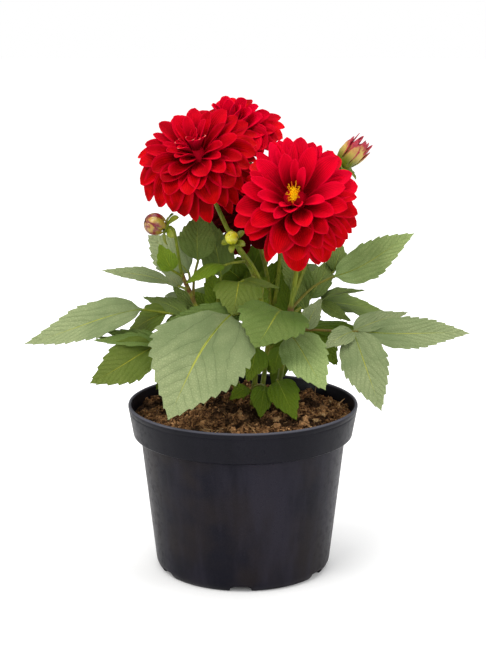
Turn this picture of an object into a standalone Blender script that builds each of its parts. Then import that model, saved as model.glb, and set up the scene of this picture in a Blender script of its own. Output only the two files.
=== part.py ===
"""Potted dahlia: a plastic nursery pot of soil, and a bushy plant with four red blooms and three buds.

Every size and place below is in millimetres, and MM turns it into metres where a mesh is written.
+Z is up, the front is towards -Y, and the origin lies under the centre of the pot.
"""

import math
import random
from collections import namedtuple

import bmesh
import bpy
from mathutils import Matrix, Vector, noise

MM = 0.001
GAP = 0.35
WELD = 1e-7
GOLDEN_TURN = math.pi * (3 - math.sqrt(5))
UP = Vector((0, 0, 1))
FRONT = Vector((0, -0.97, 0.23))

# Pot: a 19 cm round nursery pot with a deep rim band
POT_HEIGHT = 140
RIM_RADIUS = 95
RIM_BAND_HEIGHT = 25.5
RIM_BAND_FOOT_RADIUS = 90.9
BODY_TOP_RADIUS = 84.7
BODY_FOOT_RADIUS = 73
FOOT_RING_RADIUS = 69.5
FOOT_RING_WIDTH = 3.5
FOOT_DISC_RADIUS = 16
WALL = 1.8
FLOOR_UNDERSIDE = 5
POT_SIDES = 32
NOTCHES = 6
NOTCH_WIDTH = 20
NOTCH_HEIGHT = 5
NOTCH_FLARE = 3
FIRST_NOTCH_DEGREES = 268.5
DRAIN_RADIUS = 5
DRAIN_RING_RADIUS = 46

# Soil: crumbly, mounded a little towards the stems
SOIL_EDGE_HEIGHT = 129
SOIL_MOUND = 7
SOIL_RELIEF = 2.6
SOIL_RINGS = (90.4, 80, 67, 53, 38, 22, 8)
STEM_DEPTH = 36
STEM_FOOT = SOIL_EDGE_HEIGHT - STEM_DEPTH + 3

# Leaf and petal blades are lens-shaped across: thick at the rib and thin at the edge
LEAF_THICKNESS = 1.3
PETAL_THICKNESS = 1.5
BRACT_THICKNESS = 1.3
PETIOLE_RADIUS = 1.5

Colour = namedtuple("Colour", "rgb roughness")
BLACK_PLASTIC = Colour((0.012, 0.013, 0.016), 0.42)
DARK_SOIL = Colour((0.045, 0.026, 0.015), 0.95)
LEAF_GREEN = Colour((0.13, 0.22, 0.07), 0.55)
STEM_GREEN = Colour((0.20, 0.27, 0.03), 0.5)
PETAL_RED = Colour((0.52, 0.002, 0.008), 0.5)
DISC_YELLOW = Colour((0.80, 0.42, 0.01), 0.6)
BUD_GREEN = Colour((0.42, 0.40, 0.06), 0.4)
BUD_BLUSH = Colour((0.45, 0.20, 0.06), 0.5)

# Stems: each stands straight in the soil, passes its points, and ends under the bloom or bud that it carries
Stem = namedtuple("Stem", "foot path foot_radius top_radius carries")
STEMS = {
    "stem_left_bloom": Stem(
        (8, 6),
        ((12, 8, 180), (15, 8, 222), (8, 10, 247), (-3, 12, 265), (-12, 14, 281), (-20, 16, 298)),
        3.2, 2.3, "bloom_left",
    ),
    "stem_right_bloom": Stem(
        (27, 3),
        ((34, 6, 180), (40, 7, 222), (43, 8, 243), (46, 5, 266), (46.5, -4, 284)),
        3.4, 2.5, "bloom_right",
    ),
    "stem_back_bloom": Stem(
        (15, 21),
        ((22, 34, 185), (30, 54, 236), (30, 70, 268), (16, 83, 298)),
        3.0, 2.2, "bloom_back",
    ),
    "stem_left_bud": Stem(
        (0, 12),
        ((-10, 9, 168), (-24, 7, 195), (-37, 4, 217), (-44, 0, 234), (-50, -4, 250), (-53, -9, 270)),
        2.8, 1.7, "bud_left",
    ),
}

# Side shoots grow out of a stem and are one piece with it
Shoot = namedtuple("Shoot", "stem path foot_radius top_radius carries")
SHOOTS = {
    "shoot_green_bud": Shoot(
        "stem_left_bloom", ((14.6, 8, 224), (15, 3, 238), (8, -5, 255), (-1, -11, 269)), 1.8, 1.2, "bud_green",
    ),
    "shoot_right_bud": Shoot(
        "stem_right_bloom", ((40.4, 7.2, 226), (50, 13, 250), (62, 22, 285), (72, 23, 312)), 2.0, 1.6, "bud_right",
    ),
    "shoot_low_bloom": Shoot(
        "stem_back_bloom", ((23.6, 39, 200), (21, 52, 232), (15, 62, 257)), 2.0, 1.7, "bloom_low",
    ),
}

# Blooms: petals stand out of a small core, upright in the middle and folded back at the outside
Bloom = namedtuple("Bloom", "centre axis radius petals petal_width inner outer core_height first_root bracts seed")
BLOOMS = {
    "bloom_left": Bloom((-34, 8, 335.5), (-0.27, -0.45, 0.85), 52, 45, 22, (6, -6), (98, 160), 19, 12, 5, 11),
    "bloom_right": Bloom((41, -35, 311), (-0.10, -0.84, 0.53), 53, 45, 21, (26, 50), (98, 156), 18, 38, 5, 23),
    "bloom_back": Bloom((-8, 80, 345), (-0.12, -0.29, 0.95), 49, 32, 24, (12, 10), (92, 140), 15, 12, 5, 37),
    "bloom_low": Bloom((1, 52, 287), (-0.35, -0.85, 0.35), 36, 14, 27, (14, 20), (90, 130), 8, 12, 0, 41),
}
CORE_RADIUS = 10
CORE_SINK = 9
CORE_TOP_DEGREES = 28
OUTER_CROWDING = 0.85
BLOOM_BRACT_LENGTH = 14
BLOOM_BRACT_SPREAD = 128
PRESS_DEPTH = 7
PRESS_TURN = 1.6
DISC_RADIUS = 6.5
DISC_FLORETS = 9

# Buds: two closed balls with seams between their petals, and a half-open cone of narrow petals
Bud = namedtuple("Bud", "centre axis radius seams twist bract_length spread")
BUDS = {
    "bud_left": Bud((-70, -20, 292), (-0.90, -0.28, 0.30), 9, 5, 0.9, 12, 118),
    "bud_green": Bud((-9, -20, 281), (-0.35, -0.75, 0.55), 5.4, 4, 0.5, 10, 88),
}
BUD_SEAT_SINK = 0.86
OPENING_BUD_BASE = (80, 21, 334)
OPENING_BUD_AXIS = (0.66, -0.10, 0.75)
OPENING_BUD_LENGTH = 28
OPENING_BUD_SEAT_RADIUS = 5
OPENING_BUD_PETALS = 8
OPENING_BUD_BRACT_LENGTH = 12
OPENING_BUD_SPREAD = 96

# Leaves: a stalk leaves its stem at a height, passes its points, and carries leaflets at some of them
Leaflet = namedtuple("Leaflet", "at tip width facing arch fold teeth")
Leaf = namedtuple("Leaf", "stem height stalk leaflets")
LEAVES = {
    "leaf_far_left": Leaf("stem_left_bud", 203, ((-46, 5, 210), (-62, 4, 214), (-82, 0, 218)), (
        Leaflet(2, (-178, -12, 192), 37, 0.5, 6, 8, 7),
        Leaflet(1, (-96, 22, 195), 29, 0.6, 3, 5, 4),
        Leaflet(0, (-84, 32, 222), 20, 0.35, 3, 5, 4),
    )),
    "leaf_lower_left": Leaf("stem_left_bud", 160, ((-30, -2, 174), (-55, -13, 186), (-71, -20, 192)), (
        Leaflet(2, (-123, -40, 166), 36, 0.8, 7, 6, 5),
        Leaflet(1, (-120, -6, 196), 21, 0.3, 3, 5, 4),
        Leaflet(2, (-121, -28, 199), 20, 0.3, 4, 8, 4),
    )),
    "leaf_upper_left": Leaf("stem_left_bud", 234, ((-51, 4, 236), (-60, 6, 238)), (
        Leaflet(1, (-116, 14, 248), 17, 0.4, 3, 8, 5),
        Leaflet(0, (-64, 20, 244), 14, 0.4, 1, 5, 3),
    )),
    "leaf_tall_left": Leaf("stem_left_bud", 226, ((-40, 13, 243), (-37, 18, 255)), (
        Leaflet(1, (-36, 32, 293), 31, 1.0, 3, 8, 5),
    )),
    "leaf_tall_centre": Leaf("stem_left_bud", 190, ((-22, 20, 215), (-18, 27, 240)), (
        Leaflet(1, (-29, 35, 288), 30, 1.0, 3, 6, 4),
    )),
    "leaf_small_left": Leaf("stem_left_bud", 246, ((-57, -13, 253),), (
        Leaflet(0, (-67, -20, 276), 18, 0.9, 1, 5, 3),
    )),
    "leaf_back_left": Leaf("stem_left_bud", 240, ((-44, 16, 240), (-45, 32, 242)), (
        Leaflet(1, (-80, 50, 271), 34, 0.9, 3, 6, 5),
    )),
    "leaf_front": Leaf("stem_left_bloom", 200, ((11, -8, 213), (0, -23, 220), (-10, -36, 221)), (
        Leaflet(2, (-58, -94, 151), 84, 0.55, 9, 7, 8),
        Leaflet(1, (-68, -38, 211), 27, 0.35, 1, 5, 5),
    )),
    "leaf_centre": Leaf("stem_left_bloom", 214, ((23, -10, 222), (31, -30, 223)), (
        Leaflet(1, (9, -80, 205), 58, 0.45, 7, 5, 6),
    )),
    "leaf_centre_low": Leaf("stem_right_bloom", 196, ((38, -10, 202), (39, -27, 202)), (
        Leaflet(1, (65, -68, 168), 38, 0.6, 6, 6, 5),
    )),
    "leaf_low_small": Leaf("stem_left_bloom", 150, ((14, -10, 157), (18, -23, 159)), (
        Leaflet(1, (14, -43, 138), 21, 0.7, 3, 6, 3),
    )),
    "leaf_low_centre": Leaf("stem_right_bloom", 154, ((28, -10, 161), (28, -21, 163)), (
        Leaflet(1, (43, -50, 138), 27, 0.7, 4, 6, 4),
    )),
    "leaf_low_front": Leaf("stem_left_bloom", 146, ((5, -6, 152), (4, -10, 154)), (
        Leaflet(1, (-11, -24, 148), 14, 0.6, 2, 5, 3),
    )),
    "leaf_upper_right": Leaf("stem_right_bloom", 217, ((58, 14, 234), (75, 18, 242)), (
        Leaflet(1, (140, 12, 279), 34, 0.6, -8, 6, 6),
    )),
    "leaf_behind_right": Leaf("stem_right_bloom", 210, ((55, 20, 222), (64, 32, 232), (76, 38, 242)), (
        Leaflet(2, (84, 54, 262), 20, 0.8, 2, 5, 3),
        Leaflet(0, (77, 50, 253), 21, 0.9, 2, 5, 4),
    )),
    "leaf_mid_right": Leaf("stem_right_bloom", 205, ((52, 14, 214), (64, 22, 219)), (
        Leaflet(1, (102, 26, 229), 20, 0.1, 4, 8, 4),
        Leaflet(1, (121, 60, 203), 36, 0.35, 1, 5, 5),
    )),
    "leaf_right": Leaf("stem_right_bloom", 201, ((52, -8, 203), (89, -20, 204), (100, -21, 204)), (
        Leaflet(2, (183, -26, 204), 29, 0.65, -4, 6, 7),
        Leaflet(1, (136, 8, 214), 23, 0.4, 1, 10, 4),
        Leaflet(1, (110, -58, 148), 38, 0.75, 4, 6, 6),
        Leaflet(1, (64, -44, 196), 18, 0.7, 2, 5, 3),
        Leaflet(0, (64, -6, 229), 17, 0.6, 2, 6, 3),
    )),
    "leaf_low_right": Leaf("stem_back_bloom", 176, ((38, 34, 190), (56, 36, 192)), (
        Leaflet(1, (80, 34, 162), 26, 0.8, 3, 6, 3),
        Leaflet(0, (88, 58, 188), 26, 0.5, 2, 6, 3),
        Leaflet(1, (118, 58, 183), 24, 0.4, 3, 6, 3),
    )),
    "leaf_drooping": Leaf("stem_left_bloom", 243, ((0, -6, 243), (-3, -10, 242)), (
        Leaflet(1, (-9, -40, 222), 42, 0.5, 9, -10, 4),
        Leaflet(0, (30, -20, 240), 12, 0.3, 1, 5, 3),
    )),
    "leaf_edge_on": Leaf("stem_left_bloom", 256, ((-8, 4, 256), (-16, -3, 255)), (
        Leaflet(1, (-46, -26, 245), 22, 0.1, 5, -14, 4),
    )),
    "leaf_inner_left": Leaf("stem_left_bloom", 172, ((10, -2, 182), (10, -6, 188)), (
        Leaflet(1, (4, -20, 162), 26, 0.9, 2, 5, 3),
    )),
    "leaf_inner_right": Leaf("stem_right_bloom", 176, ((31, -4, 184), (30, -7, 188)), (
        Leaflet(1, (24, -16, 167), 16, 0.9, 2, 5, 3),
    )),
    "leaf_inner_back": Leaf("stem_left_bud", 186, ((-12, 22, 200), (-6, 28, 206)), (
        Leaflet(1, (20, 40, 238), 36, 0.9, 3, 6, 4),
        Leaflet(0, (-42, 34, 226), 30, 0.9, 3, 6, 4),
    )),
    "leaf_behind_centre": Leaf("stem_back_bloom", 190, ((8, 50, 208), (2, 64, 226)), (
        Leaflet(1, (-23, 66, 245), 36, 0.9, 3, 6, 4),
        Leaflet(0, (16, 70, 250), 28, 0.9, 3, 6, 4),
    )),
    "leaf_low_left": Leaf("stem_left_bud", 148, ((-28, 10, 165), (-50, 8, 172)), (
        Leaflet(1, (-72, -4, 151), 22, 0.8, 3, 6, 3),
        Leaflet(0, (-34, -10, 150), 26, 0.8, 3, 6, 3),
    )),
    "leaf_back_right": Leaf("stem_back_bloom", 214, ((34, 70, 226), (40, 92, 232)), (
        Leaflet(1, (62, 142, 214), 38, 0.1, 8, 6, 5),
        Leaflet(0, (80, 92, 226), 26, 0.1, 4, 6, 4),
    )),
    "leaf_back_centre": Leaf("stem_left_bud", 178, ((-22, 30, 196), (-34, 58, 212)), (
        Leaflet(1, (-64, 112, 202), 38, 0.1, 8, 6, 5),
        Leaflet(0, (-66, 52, 190), 26, 0.1, 4, 6, 4),
    )),
}


def clear_scene():
    """Removes whatever the file held before."""
    for thing in list(bpy.data.objects):
        bpy.data.objects.remove(thing, do_unlink=True)


def make_material(name, colour):
    """A plain surface of one colour."""
    material = bpy.data.materials.new(name)
    material.use_nodes = True
    shader = material.node_tree.nodes["Principled BSDF"]
    shader.inputs["Base Color"].default_value = (*colour.rgb, 1)
    shader.inputs["Roughness"].default_value = colour.roughness
    shader.inputs["Metallic"].default_value = 0
    return material


def add_mesh_object(name, mesh):
    """Puts a mesh into the scene as a named object."""
    thing = bpy.data.objects.new(name, mesh)
    bpy.context.scene.collection.objects.link(thing)
    return thing


def solid(name, points, faces):
    """One closed body from points in millimetres and faces, with its faces turned outwards."""
    mesh = bpy.data.meshes.new(name)
    mesh.from_pydata([Vector(point) * MM for point in points], [], faces)
    body = bmesh.new()
    body.from_mesh(mesh)
    bmesh.ops.recalc_face_normals(body, faces=body.faces)
    bmesh.ops.triangulate(body, faces=[face for face in body.faces if len(face.verts) > 4])
    body.to_mesh(mesh)
    body.free()
    return add_mesh_object(name, mesh)


def settle_mesh(thing):
    """Applies an object's modifiers, or turns a curve into its mesh."""
    graph = bpy.context.evaluated_depsgraph_get()
    mesh = bpy.data.meshes.new_from_object(thing.evaluated_get(graph))
    name = thing.name
    if thing.type == "CURVE":
        bpy.data.objects.remove(thing, do_unlink=True)
        body = bmesh.new()
        body.from_mesh(mesh)
        bmesh.ops.remove_doubles(body, verts=body.verts, dist=WELD)
        body.to_mesh(mesh)
        body.free()
        return add_mesh_object(name, mesh)
    thing.modifiers.clear()
    thing.data = mesh
    return thing


def combine(thing, others, operation, solver):
    """Joins other solids to an object, or cuts them out of it, and then removes them."""
    collection = bpy.data.collections.new(thing.name + "_others")
    bpy.context.scene.collection.children.link(collection)
    for other in others:
        bpy.context.scene.collection.objects.unlink(other)
        collection.objects.link(other)
    modifier = thing.modifiers.new(operation.lower(), "BOOLEAN")
    modifier.operation = operation
    modifier.operand_type = "COLLECTION"
    modifier.collection = collection
    modifier.solver = solver
    settle_mesh(thing)
    for other in others:
        bpy.data.objects.remove(other, do_unlink=True)
    bpy.data.collections.remove(collection)
    return thing


def keep_main_body(thing):
    """Drops loose scraps, and fills hollows that a union has sealed, by keeping only the outer skin."""
    body = bmesh.new()
    body.from_mesh(thing.data)
    islands = []
    unseen = set(body.verts)
    while unseen:
        reached = [unseen.pop()]
        island = set(reached)
        while reached:
            for edge in reached.pop().link_edges:
                for vertex in edge.verts:
                    if vertex in unseen:
                        unseen.remove(vertex)
                        island.add(vertex)
                        reached.append(vertex)
        islands.append(island)
    islands.sort(key=len)
    for island in islands[:-1]:
        bmesh.ops.delete(body, geom=list(island), context="VERTS")
    body.to_mesh(thing.data)
    body.free()


def fuse(name, pieces, solver="EXACT"):
    """One union joins the pieces of a node into one body."""
    thing = pieces[0]
    thing.name = name
    if len(pieces) > 1:
        combine(thing, pieces[1:], "UNION", solver)
        keep_main_body(thing)
    return thing


def finish(thing, colour, sharp_degrees=35):
    """Gives a finished node its material and its shading."""
    thing.data.name = thing.name
    thing.data.materials.clear()
    thing.data.materials.append(make_material(thing.name + "_look", colour))
    thing.data.shade_smooth()
    thing.data.set_sharp_from_angle(angle=math.radians(sharp_degrees))


def turned(name, profile, sides):
    """A closed body turned about Z from (radius, height) points that start and end on the axis."""
    points = []
    rings = []
    for radius, height in profile:
        if radius == 0:
            rings.append([len(points)] * sides)
            points.append((0, 0, height))
            continue
        rings.append(list(range(len(points), len(points) + sides)))
        for side in range(sides):
            angle = 2 * math.pi * side / sides
            points.append((radius * math.cos(angle), radius * math.sin(angle), height))
    faces = []
    for lower, upper in zip(rings, rings[1:]):
        for side in range(sides):
            after = (side + 1) % sides
            corners = (lower[side], lower[after], upper[after], upper[side])
            faces.append(tuple(dict.fromkeys(corners)))
    return solid(name, points, faces)


def smooth_path(points, steps):
    """Points along a smooth curve through the given ones."""
    points = [Vector(point) for point in points]
    padded = [points[0] * 2 - points[1], *points, points[-1] * 2 - points[-2]]
    path = [points[0]]
    for before, start, end, after in zip(padded, padded[1:], padded[2:], padded[3:]):
        for step in range(1, steps + 1):
            s = step / steps
            path.append(0.5 * (
                2 * start
                + (end - before) * s
                + (2 * before - 5 * start + 4 * end - after) * s ** 2
                + (3 * start - before - 3 * end + after) * s ** 3
            ))
    return path


def tube(name, path, first_radius, last_radius, bevel_resolution=1):
    """A tapered round stalk along a path, with closed ends."""
    curve = bpy.data.curves.new(name, "CURVE")
    curve.dimensions = "3D"
    curve.bevel_depth = MM
    curve.bevel_resolution = bevel_resolution
    curve.use_fill_caps = True
    spline = curve.splines.new("POLY")
    spline.points.add(len(path) - 1)
    for index, point in enumerate(path):
        share = index / (len(path) - 1)
        spline.points[index].co = (*(point * MM), 1)
        spline.points[index].radius = first_radius + (last_radius - first_radius) * share
    thing = bpy.data.objects.new(name, curve)
    bpy.context.scene.collection.objects.link(thing)
    return settle_mesh(thing)


def blade_surface(stations):
    """Points and triangles of a thin blade, from stations of (rib point, side, face, left, right, lift, thickness).

    The first station is closed by two triangles, and the last one is a point.
    """
    points = []
    for rib, side, face, left, right, lift, thickness in stations[:-1]:
        points.append(rib - side * left + face * lift)
        points.append(rib + face * thickness / 2)
        points.append(rib + side * right + face * lift)
        points.append(rib - face * thickness / 2)
    tip = len(points)
    points.append(stations[-1][0])
    faces = [(0, 1, 2), (0, 2, 3)]
    for first in range(0, tip - 4, 4):
        after = first + 4
        faces += [
            (first, after, first + 1), (first + 1, after, after + 1),
            (first + 1, after + 1, first + 2), (first + 2, after + 1, after + 2),
            (first, first + 3, after), (first + 3, after + 3, after),
            (first + 3, first + 2, after + 3), (first + 2, after + 2, after + 3),
        ]
    last = tip - 4
    faces += [(last, tip, last + 1), (last + 1, tip, last + 2), (last + 2, tip, last + 3), (last + 3, tip, last)]
    return points, faces


def leaflet_surface(root, leaflet, draw):
    """A leaflet: pointed, widest before its middle, with coarse forward teeth in its outer part."""
    root = Vector(root)
    tip = Vector(leaflet.tip)
    length = (tip - root).length
    along = (tip - root).normalized()
    look = UP.lerp(FRONT, leaflet.facing)
    face = (look - along * look.dot(along)).normalized()
    side = along.cross(face)
    half = leaflet.width / 2
    fold = math.tan(math.radians(leaflet.fold))

    def station(share, spread, advance):
        rib = root + along * length * share + face * leaflet.arch * 6.75 * share * (1 - share) ** 2
        left = max(half * spread * draw.uniform(0.95, 1.05), 0.9)
        right = max(half * spread * draw.uniform(0.95, 1.05), 0.9)
        lift = fold * half * spread * draw.uniform(0.9, 1.1)
        slope = along * advance * pitch * length
        thickness = LEAF_THICKNESS * (1 - 0.25 * share)
        return rib, side, face, left, right, lift, thickness, slope

    def outline(share):
        return 3.755 * share ** 0.75 * (1 - share) ** 1.25

    first_tooth = 0.34
    last_tooth = 0.93
    pitch = (last_tooth - first_tooth) / leaflet.teeth
    stations = [station(0, 0.02, 0), station(0.16, outline(0.16), 0)]
    for tooth in range(leaflet.teeth):
        notch = first_tooth + tooth * pitch
        point = notch + 0.66 * pitch
        stations.append(station(notch, outline(notch) * 0.92, 0.15))
        stations.append(station(point, outline(point) * 1.06, 0.3))
    stations.append((root + along * length, side, face, 0, 0, 0, 0, Vector()))
    points, faces = blade_surface([entry[:7] for entry in stations])
    for index, entry in enumerate(stations[:-1]):
        points[4 * index] += entry[7]
        points[4 * index + 2] += entry[7]
    return points, faces


def seat_of(name):
    """Where a bloom or bud sits: the middle of the seat, the bloom's direction and the seat's radius."""
    if name in BLOOMS:
        bloom = BLOOMS[name]
        axis = Vector(bloom.axis).normalized()
        size = bloom.radius / 50
        return Vector(bloom.centre) - axis * (CORE_SINK * size + GAP), axis, 7 * size
    if name in BUDS:
        bud = BUDS[name]
        axis = Vector(bud.axis).normalized()
        return Vector(bud.centre) - axis * (bud.radius * BUD_SEAT_SINK + GAP), axis, 0.5 * bud.radius
    return Vector(OPENING_BUD_BASE), Vector(OPENING_BUD_AXIS).normalized(), OPENING_BUD_SEAT_RADIUS


def neck_of(name):
    """The last points of a stem: below the seat, and just inside the green cup."""
    seat, axis, seat_radius = seat_of(name)
    return seat - axis * 1.7 * seat_radius, seat - axis * 0.35 * seat_radius


def stem_path(stem):
    """The stem's points: straight out of the soil, then along a smooth curve to its seat."""
    foot = Vector((*stem.foot, STEM_FOOT))
    top = Vector((*stem.foot, SOIL_EDGE_HEIGHT + SOIL_MOUND))
    return [foot, *smooth_path([top, *stem.path, *neck_of(stem.carries)], 2)]


def stem_at_height(stem, height):
    """The place, direction and radius of a stem at a height."""
    path = stem_path(stem)
    for index, (low, high) in enumerate(zip(path, path[1:])):
        if low.z <= height <= high.z:
            share = (height - low.z) / (high.z - low.z)
            grown = (index + share) / (len(path) - 1)
            return low.lerp(high, share), (high - low).normalized(), mix(stem.foot_radius, stem.top_radius, grown)
    return path[-1], (path[-1] - path[-2]).normalized(), stem.top_radius


def build_leaf(name, leaf):
    """A compound leaf: its stalk and its leaflets, as one body that ends just clear of its stem."""
    draw = random.Random(name)
    centre, stem_direction, stem_radius = stem_at_height(STEMS[leaf.stem], leaf.height)
    outward = (Vector(leaf.stalk[0]) - centre).normalized()
    slant = abs(outward.dot(stem_direction))
    clear = (stem_radius + GAP + PETIOLE_RADIUS * slant) / math.sqrt(1 - slant ** 2)
    start = centre + outward * clear
    path = [start, *(Vector(point) for point in leaf.stalk)]
    stalk = tube(name + "_stalk", path, PETIOLE_RADIUS, PETIOLE_RADIUS * 0.72, 0)
    pieces = [stalk]
    for index, leaflet in enumerate(leaf.leaflets):
        points, faces = leaflet_surface(leaf.stalk[leaflet.at], leaflet, draw)
        pieces.append(solid(f"{name}_leaflet_{index}", points, faces))
    thing = fuse(name, pieces)
    finish(thing, LEAF_GREEN)


def axes_of(axis):
    """Two directions square to an axis, and the axis itself."""
    axis = Vector(axis).normalized()
    across = axis.cross(UP).normalized()
    return across, axis.cross(across).normalized(), axis


def press_planes(name):
    """The planes where a bloom meets its neighbours: a point on each, and the direction into the bloom."""
    bloom = BLOOMS[name]
    planes = []
    for other_name, other in (*BLOOMS.items(), *BUDS.items()):
        if other_name == name:
            continue
        between = Vector(other.centre) - Vector(bloom.centre)
        if between.length < bloom.radius + other.radius + 2 * PRESS_DEPTH:
            share = bloom.radius / (bloom.radius + other.radius)
            facing = Vector((between.x, between.y * PRESS_TURN, between.z)).normalized()
            planes.append((Vector(bloom.centre) + between * share, -facing))
    return planes


def pressed(point, planes):
    """Where a petal point comes to lie when the neighbouring blooms hold it back."""
    for middle, inward in planes:
        clear = (point - middle).dot(inward) - GAP
        if clear < PRESS_DEPTH:
            held = PRESS_DEPTH * math.exp(clear / PRESS_DEPTH - 1)
            point = point + inward * (held - clear)
    return point


def mix(first, last, share):
    return first + (last - first) * share


def petal_surface(bloom, share, turn, draw, size):
    """One petal: narrow at its root, cupped, widest beyond its middle and bluntly pointed."""
    across, over, axis = axes_of(bloom.axis)
    outward = across * math.cos(turn) + over * math.sin(turn)
    first_lean = math.radians(mix(bloom.inner[0], bloom.outer[0], share ** 0.75) + draw.uniform(-4, 4))
    last_lean = math.radians(mix(bloom.inner[1], bloom.outer[1], share ** 0.62) + draw.uniform(-5, 5))
    length = size * mix(15, 43, min(1, share * 2.2) ** 0.8) * draw.uniform(0.94, 1.06)
    width = size * mix(0.5, 1, min(1, share * 2.2)) * bloom.petal_width
    root_angle = mix(bloom.first_root, 112, share)
    root_radius = (CORE_RADIUS - 3) * size * math.sin(math.radians(root_angle))
    root_height = (bloom.core_height - 3 * size) * math.cos(math.radians(root_angle))
    point = Vector(bloom.centre) + outward * root_radius + axis * root_height
    side = axis.cross(outward).normalized()
    roll = Matrix.Rotation(math.radians(draw.uniform(-6, 6)), 3, outward)
    steps = ((0, 0.2, 0), (0.45, 0.94, 0.10), (0.84, 0.74, 0.14), (1, 0, 0.05))
    stations = []
    travelled = 0
    for along, spread, cup in steps:
        lean = mix(first_lean, last_lean, (along + travelled) / 2)
        direction = outward * math.sin(lean) + axis * math.cos(lean)
        point = point + direction * length * (along - travelled)
        travelled = along
        lean = mix(first_lean, last_lean, along)
        face = axis * math.sin(lean) - outward * math.cos(lean)
        half = width / 2 * spread
        stations.append((
            point, roll @ side, roll @ face, half, half, cup * width, PETAL_THICKNESS * (1 - 0.2 * along),
        ))
    return blade_surface(stations)


def build_bloom(name):
    """A bloom's red petals and the small core that they stand out of, as one body."""
    bloom = BLOOMS[name]
    draw = random.Random(bloom.seed)
    size = bloom.radius / 50
    planes = press_planes(name)
    across, over, axis = axes_of(bloom.axis)
    to_bloom = Matrix((across, over, axis)).transposed()
    profile = [(0, -CORE_SINK * size), (0.75 * CORE_RADIUS * size, -CORE_SINK * size)]
    for angle in (100, 75, 50, CORE_TOP_DEGREES):
        turn = math.radians(angle)
        profile.append((CORE_RADIUS * size * math.sin(turn), bloom.core_height * math.cos(turn)))
    profile.append((0, bloom.core_height * math.cos(math.radians(CORE_TOP_DEGREES))))
    core = turned(name + "_core", profile, 10)
    core.data.transform(Matrix.Translation(Vector(bloom.centre) * MM) @ to_bloom.to_4x4())
    pieces = [core]
    for index in range(bloom.petals):
        share = ((index + 0.5) / bloom.petals) ** OUTER_CROWDING
        turn = index * GOLDEN_TURN + math.radians(draw.uniform(-5, 5))
        points, faces = petal_surface(bloom, share, turn, draw, size)
        points = [pressed(point, planes) for point in points]
        pieces.append(solid(f"{name}_petal_{index}", points, faces))
    thing = fuse(name, pieces)
    finish(thing, PETAL_RED, 50)


def bract_surface(root, direction, face_to, length, width):
    """A small green bract with a rounded point."""
    root = Vector(root)
    along = direction.normalized()
    face = (face_to - along * face_to.dot(along)).normalized()
    side = along.cross(face)
    stations = [
        (root, side, face, 0.3 * width, 0.3 * width, 0, BRACT_THICKNESS),
        (root + along * 0.55 * length, side, face, 0.5 * width, 0.5 * width, 0.1 * width, BRACT_THICKNESS),
        (root + along * length + face * 0.08 * length, side, face, 0, 0, 0, 0),
    ]
    return blade_surface(stations)


def calyx(name, stalk_radius, bracts, bract_length, spread_degrees):
    """The green cup that a bloom or bud sits on, and the bracts that spread behind it."""
    seat, axis, seat_radius = seat_of(name)
    across, over, axis = axes_of(axis)
    to_seat = Matrix((across, over, axis)).transposed()
    cup_height = 0.8 * seat_radius
    profile = ((0, -cup_height), (0.7 * stalk_radius, -cup_height), (seat_radius, -0.9), (seat_radius, 0), (0, 0))
    cup = turned(name + "_cup", profile, 7)
    cup.data.transform(Matrix.Translation(seat * MM) @ to_seat.to_4x4())
    pieces = [cup]
    spread = math.radians(spread_degrees)
    for index in range(bracts):
        turn = 2 * math.pi * (index + 0.25) / bracts
        outward = across * math.cos(turn) + over * math.sin(turn)
        direction = outward * math.sin(spread) + axis * math.cos(spread)
        root = seat + outward * (seat_radius - 1.6) - axis * 1.4
        points, faces = bract_surface(root, direction, axis, bract_length, 0.55 * bract_length)
        pieces.append(solid(f"{name}_bract_{index}", points, faces))
    return pieces


def build_round_bud(name):
    """A closed bud: a ball whose petals meet in shallow seams."""
    bud = BUDS[name]
    across, over, axis = axes_of(bud.axis)
    sides = 3 * bud.seams
    rings = 6
    first_height = -BUD_SEAT_SINK
    points = []
    for ring in range(rings):
        height = mix(first_height, 0.93, (1 - math.cos(math.pi * ring / (rings - 1))) / 2)
        reach = math.sqrt(1 - height * height)
        for side in range(sides):
            turn = 2 * math.pi * side / sides
            seam = abs(math.sin(bud.seams * (turn + bud.twist * height) / 2)) ** 0.5
            radius = bud.radius * reach * (0.90 + 0.10 * seam)
            outward = across * math.cos(turn) + over * math.sin(turn)
            points.append(Vector(bud.centre) + outward * radius + axis * bud.radius * height)
    faces = [tuple(range(sides)), tuple(range((rings - 1) * sides, rings * sides))]
    for ring in range(rings - 1):
        for side in range(sides):
            here = ring * sides + side
            beside = ring * sides + (side + 1) % sides
            faces.append((here, beside, beside + sides))
            faces.append((here, beside + sides, here + sides))
    thing = solid(name, points, faces)
    finish(thing, BUD_GREEN, 50)


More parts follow.
